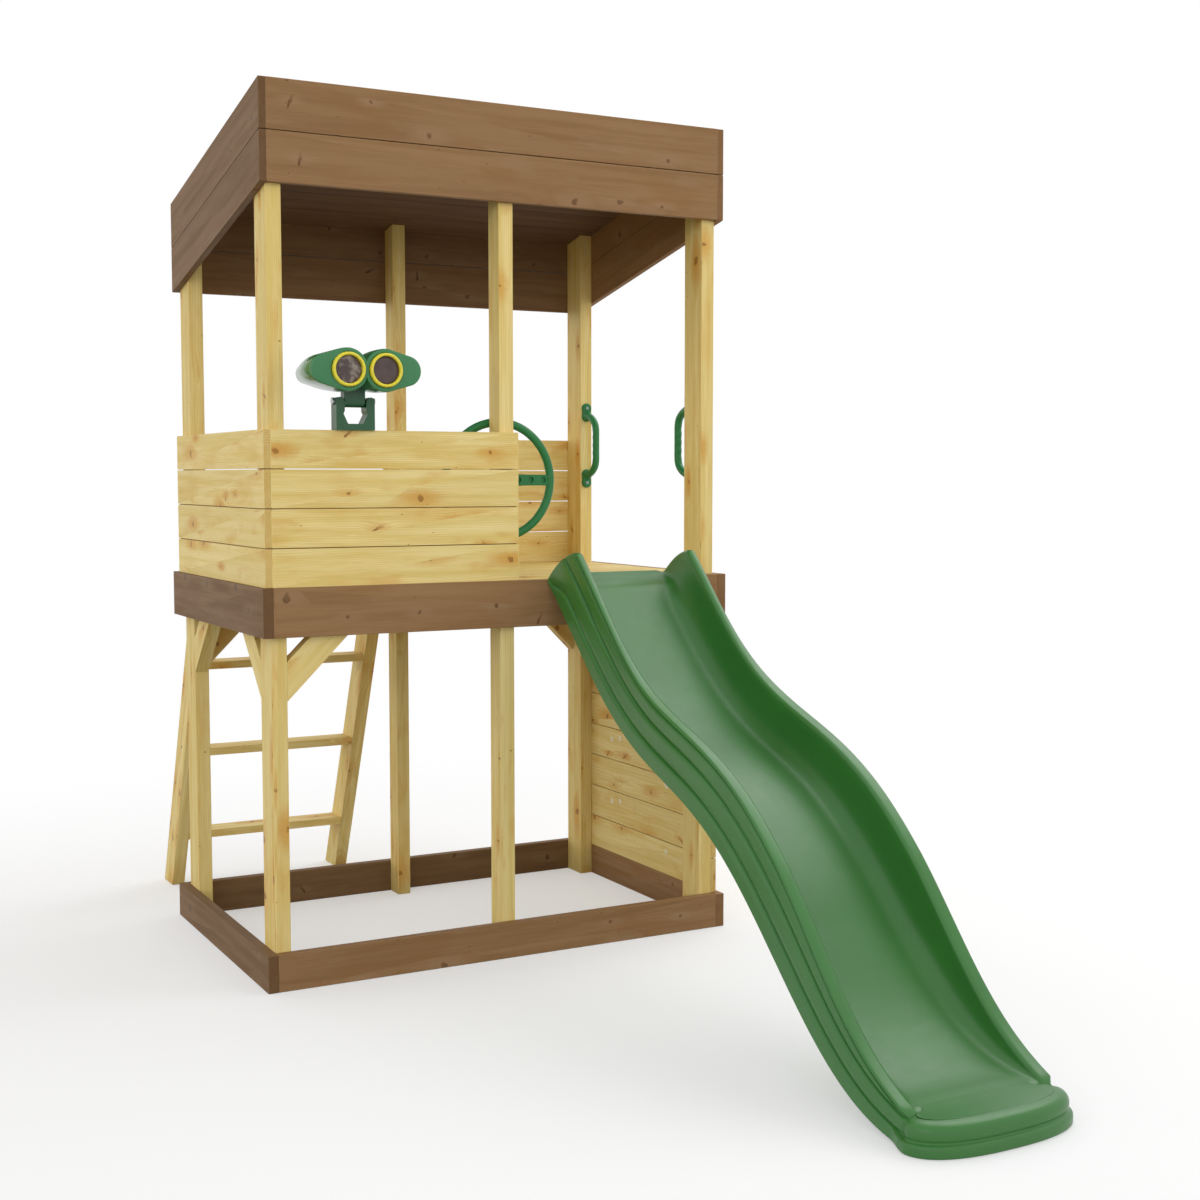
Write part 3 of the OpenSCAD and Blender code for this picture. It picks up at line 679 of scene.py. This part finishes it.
def side_profile(s):
    """Points from the lower outer edge, over the rim, to the bed: (distance from the side, height)."""
    sink = soft_step(FOOT_S - 0.006, FOOT_S + 0.010, s)
    tuck = 0.004 * soft_step(FOOT_S - 0.001, FOOT_S + 0.007, s)
    low, high, b, k = under(s), rim(s) - 0.0006 - 0.016 * sink, bed(s) - 0.020 * sink, upright(s)
    g0, g1, g2 = bands(s)
    lean = 0.011 * (1 - soft_step(0.28, 0.55, s))
    half = 0.0044 * k
    crest = high - 0.0034
    deep = 0.0062 * soft_step(0.0, 0.05, high - low)
    marks = []
    for a, c, n in ((low, g0 - half, 3), (g0 - half, g0 + half, 8), (g0 + half, g1 - half, 4),
                    (g1 - half, g1 + half, 8), (g1 + half, g2 - half, 4), (g2 - half, g2 + half, 8)):
        marks += [a + (c - a) * i / n for i in range(n)]
    marks += [g2 + half, crest]
    at, pts = low, []

    def inset(z):
        steps = 0.0015 * soft_step(g0 - half, g0 + half, z) + 0.0015 * soft_step(g1 - half, g1 + half, z)
        steps -= 0.0015 * soft_step(g2 - half, g2 + half, z)
        steps += lean * max(0.0, min(1.0, (z - g0) / (wall(s) - g0)))
        steps -= flare(s) * (1 - soft_step(g0 - half, g0 + half, z))
        return steps + tuck + sum(groove(z, g, half, deep) for g in (g0, g1, g2))

    for z in marks:
        at = min(max(z, at), crest)
        pts.append((inset(at), at))
    # rolled rim
    e = pts[-1][0]
    drop_in = max(high - b, 0.0004)
    d = min(1.0, drop_in / 0.010)
    pts += [(e + 0.0005, high - 0.0017), (e + 0.0017, high - 0.0005), (e + 0.0036, high),
            (e + 0.0075, high + 0.0004), (0.5 * (e + 0.030), high + 0.0006),
            (0.0215, high + 0.0004), (0.0248, high - 0.0003 * d),
            (0.0276, high - 0.0018 * d), (0.0298, high - 0.0044 * d), (0.0312, high - 0.0080 * d)]
    # inner wall and its deep fillet into the bed
    top = high - 0.0080 * d
    fillet = min(0.055, 0.30 * drop_in + 0.02)
    n = 14
    for i in range(1, n + 1):
        f = i / n
        pts.append((0.0312 + 0.0048 * f + fillet * f ** 2.2, b + (top - b) * (1 - f) ** 2.35))
    return pts


def inner_depth(s):
    return bed(s) - 0.010 * upright(s)


rows, s = [], S_0
while s < FOOT_S - 0.004:
    rows.append(s)
    s += 0.004 if s < 0.16 else 0.0085
rows += [FOOT_S + d for d in (0.0, 0.003, 0.006, 0.009, 0.012)]
half_n = len(side_profile(0.5))
BED_N = 9
verts, faces = [], []
cols = 2 * half_n + BED_N + 4
for s in rows:
    left = side_profile(s)
    y = Y0 - s
    row = [(S_X + x, y, z) for x, z in left]
    xa, xb = left[-1][0], S_W - left[-1][0]
    row += [(S_X + xa + (xb - xa) * i / (BED_N + 1), y, bed(s)) for i in range(1, BED_N + 1)]
    row += [(S_X + S_W - x, y, z) for x, z in reversed(left)]
    low = max(under(s), 0.0)
    belly = max(low + 0.001, inner_depth(s))
    row += [(S_X + S_W - 0.028, y, low), (S_X + S_W - 0.030, y, belly)]
    row += [(S_X + 0.030, y, belly), (S_X + 0.028, y, low)]
    verts += row
faces = grid_faces(len(rows), cols, closed=True)
keep = []
for f in faces:
    r = f[0] // cols
    c = {i % cols for i in f}
    in_bed = all(half_n - 1 <= i <= half_n + BED_N for i in c)
    if in_bed and rows[r] >= CUT_S:
        continue
    keep.append(f)
faces = keep + end_caps(len(rows), cols)
slide = as_object("slide_shell", verts, faces, slide_green)
by_angle(slide, 50)
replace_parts(slide, "slide")
cut_row = min(r for r in rows if r >= CUT_S)

# the foot: rounded in plan, with a rolled lip over a groove and a flange on the ground
HALF = S_W / 2


def foot_outline(inset, flange):
    """Half outline from inside the shell to the middle of the front: (x from the centre, s)."""
    hidden = HALF - 0.014 - inset
    pts = [(hidden, cut_row - 0.003), (hidden, FOOT_S - 0.006)]
    reach = S_LEN - FOOT_S - inset
    for i in range(33):
        a = math.pi / 2 * i / 32
        s = FOOT_S + reach * math.sin(a) ** 0.8
        b = min(1.0, (s - FOOT_S) / TURN)
        out = flare(s) if flange else FLARE * (0.42 + 0.58 * b * (2 - b))
        pts.append(((HALF + out - inset) * max(0.0, math.cos(a)) ** 0.8 if i < 32 else 0.0, s))
    return pts


FOOT = [  # (inset, height, part of the flange), from the ground up over the lip
    (0.0045, 0.0000, 1), (0.0018, 0.0004, 1), (0.0004, 0.0020, 1), (0.0, 0.0050, 1), (0.0, 0.0140, 1),
    (0.0004, 0.0172, 1), (0.0016, 0.0196, 1), (0.0036, 0.0212, 1), (0.0060, 0.0222, 1), (0.0080, 0.0232, 0),
    (0.0090, 0.0246, 0), (0.0088, 0.0264, 0), (0.0078, 0.0288, 0), (0.0070, 0.0320, 0), (0.0068, 0.0360, 0),
    (0.0071, 0.0400, 0), (0.0082, 0.0440, 0), (0.0103, 0.0478, 0), (0.0136, 0.0514, 0), (0.0182, 0.0542, 0),
    (0.0245, 0.0561, 0), (0.0330, 0.0570, 0),
]
verts, faces = [], []
for inset, z, flange in FOOT:
    half = foot_outline(inset, flange)
    ring = [(-x, s) for x, s in half] + [(x, s) for x, s in reversed(half[:-1])]
    verts += [(S_X + HALF + x, Y0 - s, z) for x, s in ring]
m = len(ring)
faces = grid_faces(len(FOOT), m)
base = (len(FOOT) - 1) * m
inner = verts[base:base + m]
ACROSS = 12
pair_n = (m + 1) // 2
start = len(verts)
for i in range(pair_n):
    a, b = inner[i], inner[m - 1 - i]
    for k in range(ACROSS + 1):
        f = k / ACROSS
        x = a[0] + (b[0] - a[0]) * f
        y = a[1] + (b[1] - a[1]) * f
        verts.append((x, y, bed(Y0 - y)))
faces += grid_faces(pair_n, ACROSS + 1, start=start)
foot = as_object("slide_foot", verts, faces, slide_green)
bm = bmesh.new()
bm.from_mesh(foot.data)
bmesh.ops.remove_doubles(bm, verts=bm.verts, dist=0.00001)
bmesh.ops.recalc_face_normals(bm, faces=bm.faces)
bm.to_mesh(foot.data)
bm.free()
by_angle(foot, 60)


# Grab handles

def tube(path, radii, segments=20, squash=None):
    """Tube along a path of points with a radius at each; squash(i, angle) may change it."""
    verts, faces = [], []
    pts = [Vector(p) for p in path]
    side = Vector((1, 0, 0))
    for i, p in enumerate(pts):
        a, b = pts[max(i - 1, 0)], pts[min(i + 1, len(pts) - 1)]
        d = (b - a).normalized()
        n = (side - d * side.dot(d)).normalized()
        m = d.cross(n)
        for k in range(segments):
            ang = 2 * math.pi * k / segments
            r = radii[i] * (squash(i, ang) if squash else 1)
            verts.append(p + n * (r * math.cos(ang)) + m * (r * math.sin(ang)))
    faces = grid_faces(len(pts), segments, closed=True)
    return verts, faces + end_caps(len(pts), segments)


def smooth_path(points, steps):
    """Catmull-Rom curve through the points."""
    p = [Vector(q) for q in points]
    p = [p[0] * 2 - p[1]] + p + [p[-1] * 2 - p[-2]]
    out = []
    for i in range(1, len(p) - 2):
        for k in range(steps):
            t = k / steps
            a, b, c, d = p[i - 1], p[i], p[i + 1], p[i + 2]
            out.append(0.5 * ((2 * b) + (c - a) * t + (2 * a - 5 * b + 4 * c - d) * t * t
                              + (3 * b - a - 3 * c + d) * t ** 3))
    out.append(p[-2])
    return out


def stadium(r, gap, count=14):
    """Outline round two bolt seats, a little waisted between them: (x, z) from the middle."""
    pts = []
    for k, start in ((1, -25), (-1, 155)):
        for i in range(count + 1):
            a = math.radians(start + 230 * i / count)
            pts.append((r * math.cos(a), k * gap + r * math.sin(a)))
    return pts


BOLT_UP = 0.105


def grab_handle(name, y, side, node):
    """side is +1 where the grip stands out towards +Y."""
    z0 = DECK + 0.331
    x = X1 - 0.018
    half = [(0.006, 0.082), (0.018, 0.0815), (0.036, 0.074), (0.052, 0.061), (0.0585, 0.044), (0.0590, 0.020)]
    lower = [(0, out, -up) for out, up in half]
    upper = [(0, out, up) for out, up in reversed(half)]
    path = smooth_path(lower + [(0, 0.0590, 0)] + upper, 9)
    radii = [0.0096 + 0.0030 * soft_step(0.024, 0.006, p.y) for p in path]

    def fingers(i, ang):
        p = path[i]
        grip = soft_step(0.052, 0.040, abs(p.z))
        inward = max(0.0, math.cos(ang + math.pi / 2))
        wave = 0.5 - 0.5 * math.cos(2 * math.pi * p.z / 0.0215)
        return 1 - 0.24 * grip * wave * inward

    parts = [tube(path, radii, 24, fingers)]
    for k in (-1, 1):
        verts, faces = [], []
        levels = [(0.0, 0.0), (0.0, 0.0062), (0.0008, 0.0078), (0.0024, 0.0087), (0.0052, 0.0090)]
        for cut, h in levels:
            verts += [(px, h, k * 0.093 + pz) for px, pz in stadium(0.0138 - cut, 0.012)]
        n = len(stadium(0.0138, 0.012))
        faces = grid_faces(len(levels), n, closed=True)
        parts.append((verts, faces + end_caps(len(levels), n)))
        lug = [(0.0046, 0.0075), (0.0046, 0.0098), (0.0052, 0.0103),
               (0.0064, 0.0102), (0.0074, 0.0095), (0.0078, 0.0080)]
        lv, lf = lathe(lug, 28)
        parts.append((placed(lv, turned((0, 0, k * BOLT_UP), -90, "X")), lf))
    v, f = joined(parts)
    v = [(x + p[0], y + side * p[1], z0 + p[2]) for p in v]
    o = as_object(name, v, f, fitting_green)
    by_angle(o, 42)
    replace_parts(o, node)
    # a countersunk screw in each lug
    screws = []
    for k in (-1, 1):
        head = [(0.0, 0.0086), (0.0012, 0.0086), (0.0018, 0.0094), (0.0036, 0.0092), (0.0044, 0.0082)]
        sv, sf = lathe(head, 20)
        screws.append((placed(sv, turned((x, y, z0 + k * BOLT_UP), -90 * side, "X")), sf))
    v, f = joined(screws)
    by_angle(as_object(name + "_screws", v, f, zinc), 35)


grab_handle("handle_front_grip", Y0 + 0.080, 1, "grab_handle_front")
grab_handle("handle_back_grip", Y1 - 0.080, -1, "grab_handle_back")


# Steering wheel: ring, bored spoke bar and hub

WX, WY, WZ = X0 + 0.585, Y0 + 0.056 + 0.004 + 0.010, DECK + 0.235
RIM_R, RIM_T = 0.137, 0.010
RECESS_R, RECESSES = 0.007, (0.37, 0.61, 0.85)
verts, faces = [], []
AROUND, TUBE = 144, 24
for k in range(AROUND):
    a = 2 * math.pi * k / AROUND
    for j in range(TUBE):
        b = 2 * math.pi * j / TUBE
        back = max(0.0, math.sin(b))
        wave = 0.5 - 0.5 * math.cos(a * 28)
        r = RIM_T * (1 - 0.10 * wave * back * max(0.0, -math.cos(b) + 0.6))
        rr = RIM_R + r * math.cos(b)
        verts.append((WX + rr * math.cos(a), WY + r * math.sin(b), WZ + rr * math.sin(a)))
for k in range(AROUND):
    kk = (k + 1) % AROUND
    for j in range(TUBE):
        jj = (j + 1) % TUBE
        faces.append((k * TUBE + j, k * TUBE + jj, kk * TUBE + jj, kk * TUBE + j))
wheel = as_object("wheel_rim", verts, faces, fitting_green, "wheel")
by_angle(wheel, 60)
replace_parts(wheel, "steering_wheel")


def bored_bar():
    """Spoke bar drawn as an outline with round holes, filled and thickened."""
    bm = bmesh.new()
    length, half_h, thick = RIM_R - 0.002, 0.013, 0.005
    holes = [k * f * RIM_R for k in (-1, 1) for f in RECESSES]
    outline = []
    for side in (1, -1):
        for i in range(0, 41):
            x = side * (length - 2 * length * i / 40)
            swell = 0.004 * math.exp(-(x / 0.045) ** 2)
            outline.append((x, side * (half_h + swell)))
    loops = [outline]
    angles = [2 * math.pi * q / 28 for q in range(28)]
    for h in holes:
        loops.append([(h + RECESS_R * math.cos(a), RECESS_R * math.sin(a)) for a in angles])
    edges = []
    for loop in loops:
        vs = [bm.verts.new((p[0], 0, p[1])) for p in loop]
        for i, vtx in enumerate(vs):
            edges.append(bm.edges.new((vtx, vs[(i + 1) % len(vs)])))
    bmesh.ops.triangle_fill(bm, use_beauty=True, use_dissolve=False, edges=edges, normal=(0, 1, 0))
    front = list(bm.faces)
    ext = bmesh.ops.extrude_face_region(bm, geom=front)
    moved = [g for g in ext["geom"] if isinstance(g, bmesh.types.BMVert)]
    for vtx in bm.verts:
        vtx.co.y -= thick
    for vtx in moved:
        vtx.co.y += 2 * thick
    bmesh.ops.recalc_face_normals(bm, faces=bm.faces)
    mesh = bpy.data.meshes.new("wheel_spoke")
    bm.to_mesh(mesh)
    bm.free()
    mesh.transform(Matrix.Translation((WX, WY, WZ)))
    o = bpy.data.objects.new("wheel_spoke", mesh)
    scene.collection.objects.link(o)
    mesh.materials.append(fitting_green)
    bevel(o, 0.0014, 3, 35)
    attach(o, "wheel")


bored_bar()
floors = []
for f in [-q for q in reversed(RECESSES)] + list(RECESSES):
    v, q = lathe([(0.0, 0.0), (RECESS_R + 0.0001, 0.0), (RECESS_R + 0.0001, 0.0049), (0.0, 0.0049)], 28)
    floors.append((placed(v, turned((WX + f * RIM_R, WY, WZ), -90, "X")), q))
v, f = joined(floors)
by_angle(as_object("wheel_recess_floors", v, f, fitting_green, "wheel"), 40)
hub = [(0.0052, -0.008), (0.0270, -0.008), (0.0292, -0.0068), (0.0300, -0.0045), (0.0300, 0.0045),
       (0.0292, 0.0068), (0.0270, 0.008), (0.0150, 0.0085), (0.0052, 0.0085)]
v, f = lathe(hub, 56)
v = placed(v, turned((WX, WY, WZ), -90, "X"))
o = as_object("wheel_hub", v, f, fitting_green, "wheel")
by_angle(o, 40)


# Binoculars: two egg-shaped barrels, a bridge, a neck on the tilt pin, yellow rings and dark lenses

BX, BY, PIN_Z = X0 + 0.193, Y0 - 0.0075, WALL_TOP + 0.064
LENS_Z = PIN_Z + 0.065
GAP = 0.043
RING_R, RING_IN = 0.0375, 0.0306
FRONT_Y = -0.092


def egg(r, out, r2, count=56):
    """Outline round at the lens and narrower outwards: (x outwards, z)."""
    c = out - r2
    tilt = math.asin((r - r2) / c)
    pts = []
    n = count // 2
    for i in range(n + 1):
        a = -math.pi / 2 + tilt + (math.pi - 2 * tilt) * i / n
        pts.append((c + r2 * math.cos(a), r2 * math.sin(a)))
    for i in range(n + 1):
        a = math.pi / 2 - tilt + (math.pi + 2 * tilt) * i / n
        pts.append((r * math.cos(a), r * math.sin(a)))
    return pts


def barrel(name, k):
    """k is -1 for the left barrel and 1 for the right one."""
    secs = [  # (y from the pin, round radius, reach outwards, outer radius)
        (FRONT_Y + 0.0000, 0.0448, 0.0806, 0.0312),
        (FRONT_Y + 0.0005, 0.0458, 0.0818, 0.0320),
        (FRONT_Y + 0.0015, 0.0466, 0.0830, 0.0327),
        (FRONT_Y + 0.0032, 0.0471, 0.0838, 0.0331),
        (FRONT_Y + 0.0090, 0.0474, 0.0843, 0.0334),
        (FRONT_Y + 0.0300, 0.0476, 0.0848, 0.0337),
        (FRONT_Y + 0.0500, 0.0472, 0.0840, 0.0334),
        (-0.020, 0.0462, 0.0815, 0.0326),
        (0.010, 0.0436, 0.0760, 0.0306),
        (0.045, 0.0400, 0.0680, 0.0282),
        (0.075, 0.0365, 0.0605, 0.0258),
        (0.100, 0.0332, 0.0545, 0.0238),
        (0.114, 0.0308, 0.0510, 0.0226),
        (0.1205, 0.0288, 0.0486, 0.0214),
        (0.1232, 0.0266, 0.0462, 0.0200),
        (0.1238, 0.0240, 0.0436, 0.0182),
    ]
    verts, faces = [], []
    for y, r, out, r2 in secs:
        ring = egg(r, out, r2)
        verts += [(BX + k * (GAP + x), BY + y, LENS_Z + z) for x, z in ring]
    n = len(ring)
    faces = grid_faces(len(secs), n, closed=True)
    # front face closes on a round seat for the ring, a little below the face
    front = verts[:n]
    seat = []
    for r, back in ((0.0398, -0.0002), (0.0386, 0.0006), (0.0384, 0.0040), (0.020, 0.0040)):
        start = len(verts)
        for v in front:
            a = math.atan2(v[2] - LENS_Z, (v[0] - BX) * k - GAP)
            verts.append((BX + k * (GAP + r * math.cos(a)), BY + FRONT_Y + back, LENS_Z + r * math.sin(a)))
        seat.append(start)
    prev = 0
    for start in seat:
        for i in range(n):
            j = (i + 1) % n
            faces.append((prev + j, prev + i, start + i, start + j))
        prev = start
    faces.append(tuple(prev + i for i in range(n)))
    # back: an eyepiece hollow
    prev = (len(secs) - 1) * n
    cx = 0.010
    for r, y in ((0.0190, 0.1238), (0.0176, 0.1230), (0.0172, 0.1150), (0.0080, 0.1150)):
        start = len(verts)
        for v in verts[(len(secs) - 1) * n:(len(secs) - 1) * n + n]:
            a = math.atan2(v[2] - LENS_Z, (v[0] - BX) * k - GAP - cx)
            verts.append((BX + k * (GAP + cx + r * math.cos(a)), BY + y, LENS_Z + r * math.sin(a)))
        for i in range(n):
            j = (i + 1) % n
            faces.append((prev + i, prev + j, start + j, start + i))
        prev = start
    faces.append(tuple(prev + i for i in range(n)))
    o = as_object(name, verts, faces, gloss_green, "binoculars")
    by_angle(o, 32)
    return o


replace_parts(barrel("barrel_left", -1), "binocular_body")
barrel("barrel_right", 1)


def rounded_block(name, low, high, material, body, radius, segments=4):
    """A block with well rounded edges, for the bridge and the neck."""
    bm = bmesh.new()
    bmesh.ops.create_cube(bm, size=1.0)
    for v in bm.verts:
        v.co = Vector([low[i] + (high[i] - low[i]) * (v.co[i] + 0.5) for i in range(3)])
    bmesh.ops.bevel(bm, geom=list(bm.edges), offset=radius, segments=segments, profile=0.5, affect="EDGES")
    mesh = bpy.data.meshes.new(name)
    bm.to_mesh(mesh)
    bm.free()
    o = bpy.data.objects.new(name, mesh)
    scene.collection.objects.link(o)
    mesh.materials.append(material)
    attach(o, body)
    by_angle(o, 50)
    return o


bridge_low, bridge_high = (BX - 0.022, BY - 0.044, LENS_Z - 0.019), (BX + 0.022, BY + 0.048, LENS_Z + 0.018)
rounded_block("barrel_bridge", bridge_low, bridge_high, gloss_green, "binoculars", 0.006)


def neck():
    """Neck under the bridge: a rounded foot round the pin, widening into the barrels."""
    side = [(-0.0135, 0.060), (-0.0135, 0.0)]
    for i in range(1, 12):
        a = math.pi + math.pi * i / 12
        side.append((0.0135 * math.cos(a), 0.0135 * math.sin(a)))
    side += [(0.0135, 0.0), (0.0135, 0.060)]
    half = 0.0244
    verts = [(BX + sx * half, BY + y, PIN_Z + z) for sx in (-1, 1) for y, z in side]
    n = len(side)
    faces = [(i, i + 1, n + i + 1, n + i) for i in range(n - 1)] + [(n - 1, 0, n, 2 * n - 1)]
    faces += [tuple(reversed(range(n))), tuple(range(n, 2 * n))]
    o = as_object("binocular_neck", verts, faces, bracket_green, "binoculars")
    by_angle(o, 40)
    bevel(o, 0.0016, 3, 40)


neck()
ring_profile = [(RING_IN, 0.0025), (RING_IN, 0.0100), (RING_IN + 0.0008, 0.0118), (RING_IN + 0.0028, 0.0130),
                (RING_R - 0.0030, 0.0130), (RING_R - 0.0010, 0.0120), (RING_R, 0.0098), (RING_R, 0.0020)]
lens_profile = [(0.0, 0.0072), (0.009, 0.0070), (0.018, 0.0064), (0.025, 0.0055), (0.0298, 0.0045),
                (0.0308, 0.0038), (0.0308, 0.0020)]
for side, k, material in (("left", -1, lens_left), ("right", 1, lens_right)):
    turn = turned((BX + k * GAP, BY + FRONT_Y + 0.0035, LENS_Z), 90, "X")
    v, f = lathe(ring_profile, 72)
    ring = as_object("lens_ring_" + side, placed(v, turn), f, ring_yellow, "binoculars")
    by_angle(ring, 45)
    v, f = lathe(lens_profile, 72)
    glass = as_object("lens_" + side, placed(v, turn), f, material, "binoculars")
    by_angle(glass, 40)
    if k < 0:
        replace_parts(ring, "binocular_rings")
        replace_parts(glass, "binocular_lenses")

dress("binocular_bracket", bracket_green, 0.0022)
dress("binocular_pin", zinc, 0.0008)
dress("wheel_axle", zinc, 0.0012)


# Climbing holds: lumpy cast grips with a sunk bolt, and their nuts on the inner side of the wall

BOARD = (0.790 - 0.084 - 7 * 0.002) / 8
HOLD_LOW, HOLD_UP, HOLD_SIDE = 0.084 + 0.7 * BOARD, 2 * (BOARD + 0.002), 0.19 * 0.724
MID_Y = (Y0 + Y1) / 2


def hold(name, y, z, turn, number):
    local = random.Random(number)
    phase = [local.uniform(0, 6.28) for _ in range(4)]
    verts, faces = [], []
    R, N = 20, 48
    for i in range(R + 1):
        t = i / R
        for j in range(N):
            a = 2 * math.pi * j / N
            edge = 1 + 0.05 * math.sin(2 * a + phase[0]) + 0.035 * math.sin(3 * a + phase[1])
            r = t * edge
            dome = (1 - t ** 2.6) ** 0.5 if t < 1 else 0.0
            jug = 0.22 * math.exp(-((math.sin(a) * t - 0.45) / 0.22) ** 2)
            h = 0.0295 * dome * (0.92 + 0.08 * math.sin(3 * a + phase[2]) * t) * (1 - jug)
            h += 0.0022 * math.sin(9 * t + phase[3]) * math.sin(a * 2) * t * (1 - t)
            sink = 0.010 * soft_step(0.20, 0.14, t)
            top = max(h - sink, 0.0006) if t < 1 else 0.0006
            verts.append((0.03312 * r * math.sin(a), 0.0450 * r * math.cos(a), top))
    faces = grid_faces(R + 1, N, closed=True)
    there = turned((X1 + 0.015, y, z), turn, "X") @ Matrix.Rotation(math.radians(90), 4, "Y")
    o = as_object(name, placed(verts, there), faces, hold_green)
    by_angle(o, 40)
    head = [(0.0018, 0.0210), (0.0030, 0.0232), (0.0052, 0.0238), (0.0062, 0.0228), (0.0062, 0.0170)]
    cap, cf = lathe(head, 24)
    b = as_object(name + "_bolt", placed(cap, there), cf, zinc)
    by_angle(b, 40)
    return o


def nut(name, y, z):
    """Flange of a tee nut set in the inner side of the climbing wall."""
    flange = [(0.0034, -0.0020), (0.0034, 0.0008), (0.0040, 0.0012),
              (0.0064, 0.0010), (0.0071, 0.0004), (0.0071, -0.0010)]
    v, f = lathe(flange, 28)
    o = as_object(name, placed(v, turned((X1, y, z), -90, "Y")), f, zinc_pale)
    by_angle(o, 40)


spots = [(-HOLD_SIDE, HOLD_LOW + i * HOLD_UP, 15) for i in range(4)]
spots += [(HOLD_SIDE, HOLD_LOW + (i + 0.5) * HOLD_UP, -15) for i in range(3)]
for i, (dy, z, turn) in enumerate(spots):
    grip = hold(f"hold_{i}", MID_Y + dy, z, turn, i + 3)
    if i == 0:
        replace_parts(grip, "climbing_holds")
    for k in ((-1, 1) if dy > 0 else (0,)):
        nut(f"nut_{i}_{k + 1}", MID_Y + dy + k * 0.0235, z - k * 0.004)


# Floor, light and camera

def stage_floor():
    """Pale floor that keeps the shadows near the object and fades to plain white away from it;
    indirect rays meet a darker floor, so that little light comes back up."""
    size, floor_z, bounce = 60.0, -0.0005, 0.36
    near, far, near_white = 1.3, 3.3, 0.38
    m, t, bsdf = new_material("studio_floor")
    p = t.add("ShaderNodeTexCoord").outputs["Object"]
    tone = t.step(t.noise(p, 0.8, 2, 0.5), 0.3, 0.7, 0.985, 0.995, False)
    path = t.add("ShaderNodeLightPath").outputs
    seen = t.math("MAXIMUM", path["Is Camera Ray"], path["Is Glossy Ray"])
    tone = t.step(seen, 0, 1, bounce, tone, False)
    bsdf.inputs["Roughness"].default_value = 0.8
    bsdf.inputs["Specular IOR Level"].default_value = 0.0
    t.link(t.combine(tone, tone, tone), bsdf.inputs["Base Color"])
    white = t.add("ShaderNodeEmission")
    distance = t.vmath("LENGTH", t.vmath("SUBTRACT", p, (0.0, -0.2, 0.0)))
    away = t.step(distance, near, far, near_white, 1.0)
    fade = t.add("ShaderNodeMixShader")
    t.link(t.times(away, seen), fade.inputs[0])
    t.link(bsdf.outputs[0], fade.inputs[1])
    t.link(white.outputs[0], fade.inputs[2])
    out = next(n for n in m.node_tree.nodes if n.bl_idname == "ShaderNodeOutputMaterial")
    t.link(fade.outputs[0], out.inputs[0])
    mesh = bpy.data.meshes.new("studio_floor")
    corners = [(a * size, b * size, floor_z) for a, b in ((-1, -1), (1, -1), (1, 1), (-1, 1))]
    mesh.from_pydata(corners, [], [(0, 1, 2, 3)])
    o = bpy.data.objects.new("studio_floor", mesh)
    scene.collection.objects.link(o)
    mesh.materials.append(m)


stage_floor()

# A white studio dome, brighter towards the horizon; seen directly or in a reflection it is plain white
world = bpy.data.worlds.new("studio")
scene.world = world
world.use_nodes = True
world.node_tree.nodes.clear()
t = Tree(world.node_tree)
out = t.add("ShaderNodeOutputWorld")
path = t.add("ShaderNodeLightPath").outputs
_, _, up = t.split(t.add("ShaderNodeTexCoord").outputs["Generated"])
low = t.minus(1.0, t.math("MAXIMUM", up, 0.0))
dome = t.times_plus(t.times(low, low), 1.9, 0.5)
sky = t.add("ShaderNodeBackground")
sky.inputs["Color"].default_value = (1.0, 1.0, 1.0, 1)
t.link(dome, sky.inputs["Strength"])
seen = t.add("ShaderNodeBackground")
seen.inputs["Color"].default_value = (1, 1, 1, 1)
seen.inputs["Strength"].default_value = 1.0
pick = t.add("ShaderNodeMixShader")
mirrored = t.math("MAXIMUM", path["Is Glossy Ray"], path["Is Transmission Ray"])
direct = t.math("MAXIMUM", path["Is Camera Ray"], mirrored)
t.link(direct, pick.inputs[0])
t.link(sky.outputs[0], pick.inputs[1])
t.link(seen.outputs[0], pick.inputs[2])
t.link(pick.outputs[0], out.inputs[0])


def lamp(name, place, aim, size, power):
    data = bpy.data.lights.new(name, "AREA")
    data.shape = "DISK"
    data.size = size
    data.energy = power
    o = bpy.data.objects.new(name, data)
    scene.collection.objects.link(o)
    o.location = place
    o.rotation_mode = "QUATERNION"
    o.rotation_quaternion = (Vector(aim) - Vector(place)).to_track_quat("-Z", "Y")


lamp("top_light", (2.4, 0.0, 3.8), (0.25, -0.6, 0.5), 3.4, 54)
lamp("front_light", (-3.4, -4.2, 3.4), (0.1, -0.4, 0.6), 1.2, 14)

camera = bpy.data.cameras.new("camera")
camera.lens = 50
camera.sensor_width = 36
camera.sensor_fit = "HORIZONTAL"
camera.clip_start, camera.clip_end = 0.05, 200
eye = bpy.data.objects.new("camera", camera)
scene.collection.objects.link(eye)
eye.location = (-1.6725, -3.5391, 1.1437)
eye.rotation_euler = (math.radians(90 - 4.241), 0, math.radians(-28.434))
scene.camera = eye
scene.view_settings.view_transform = "Standard"
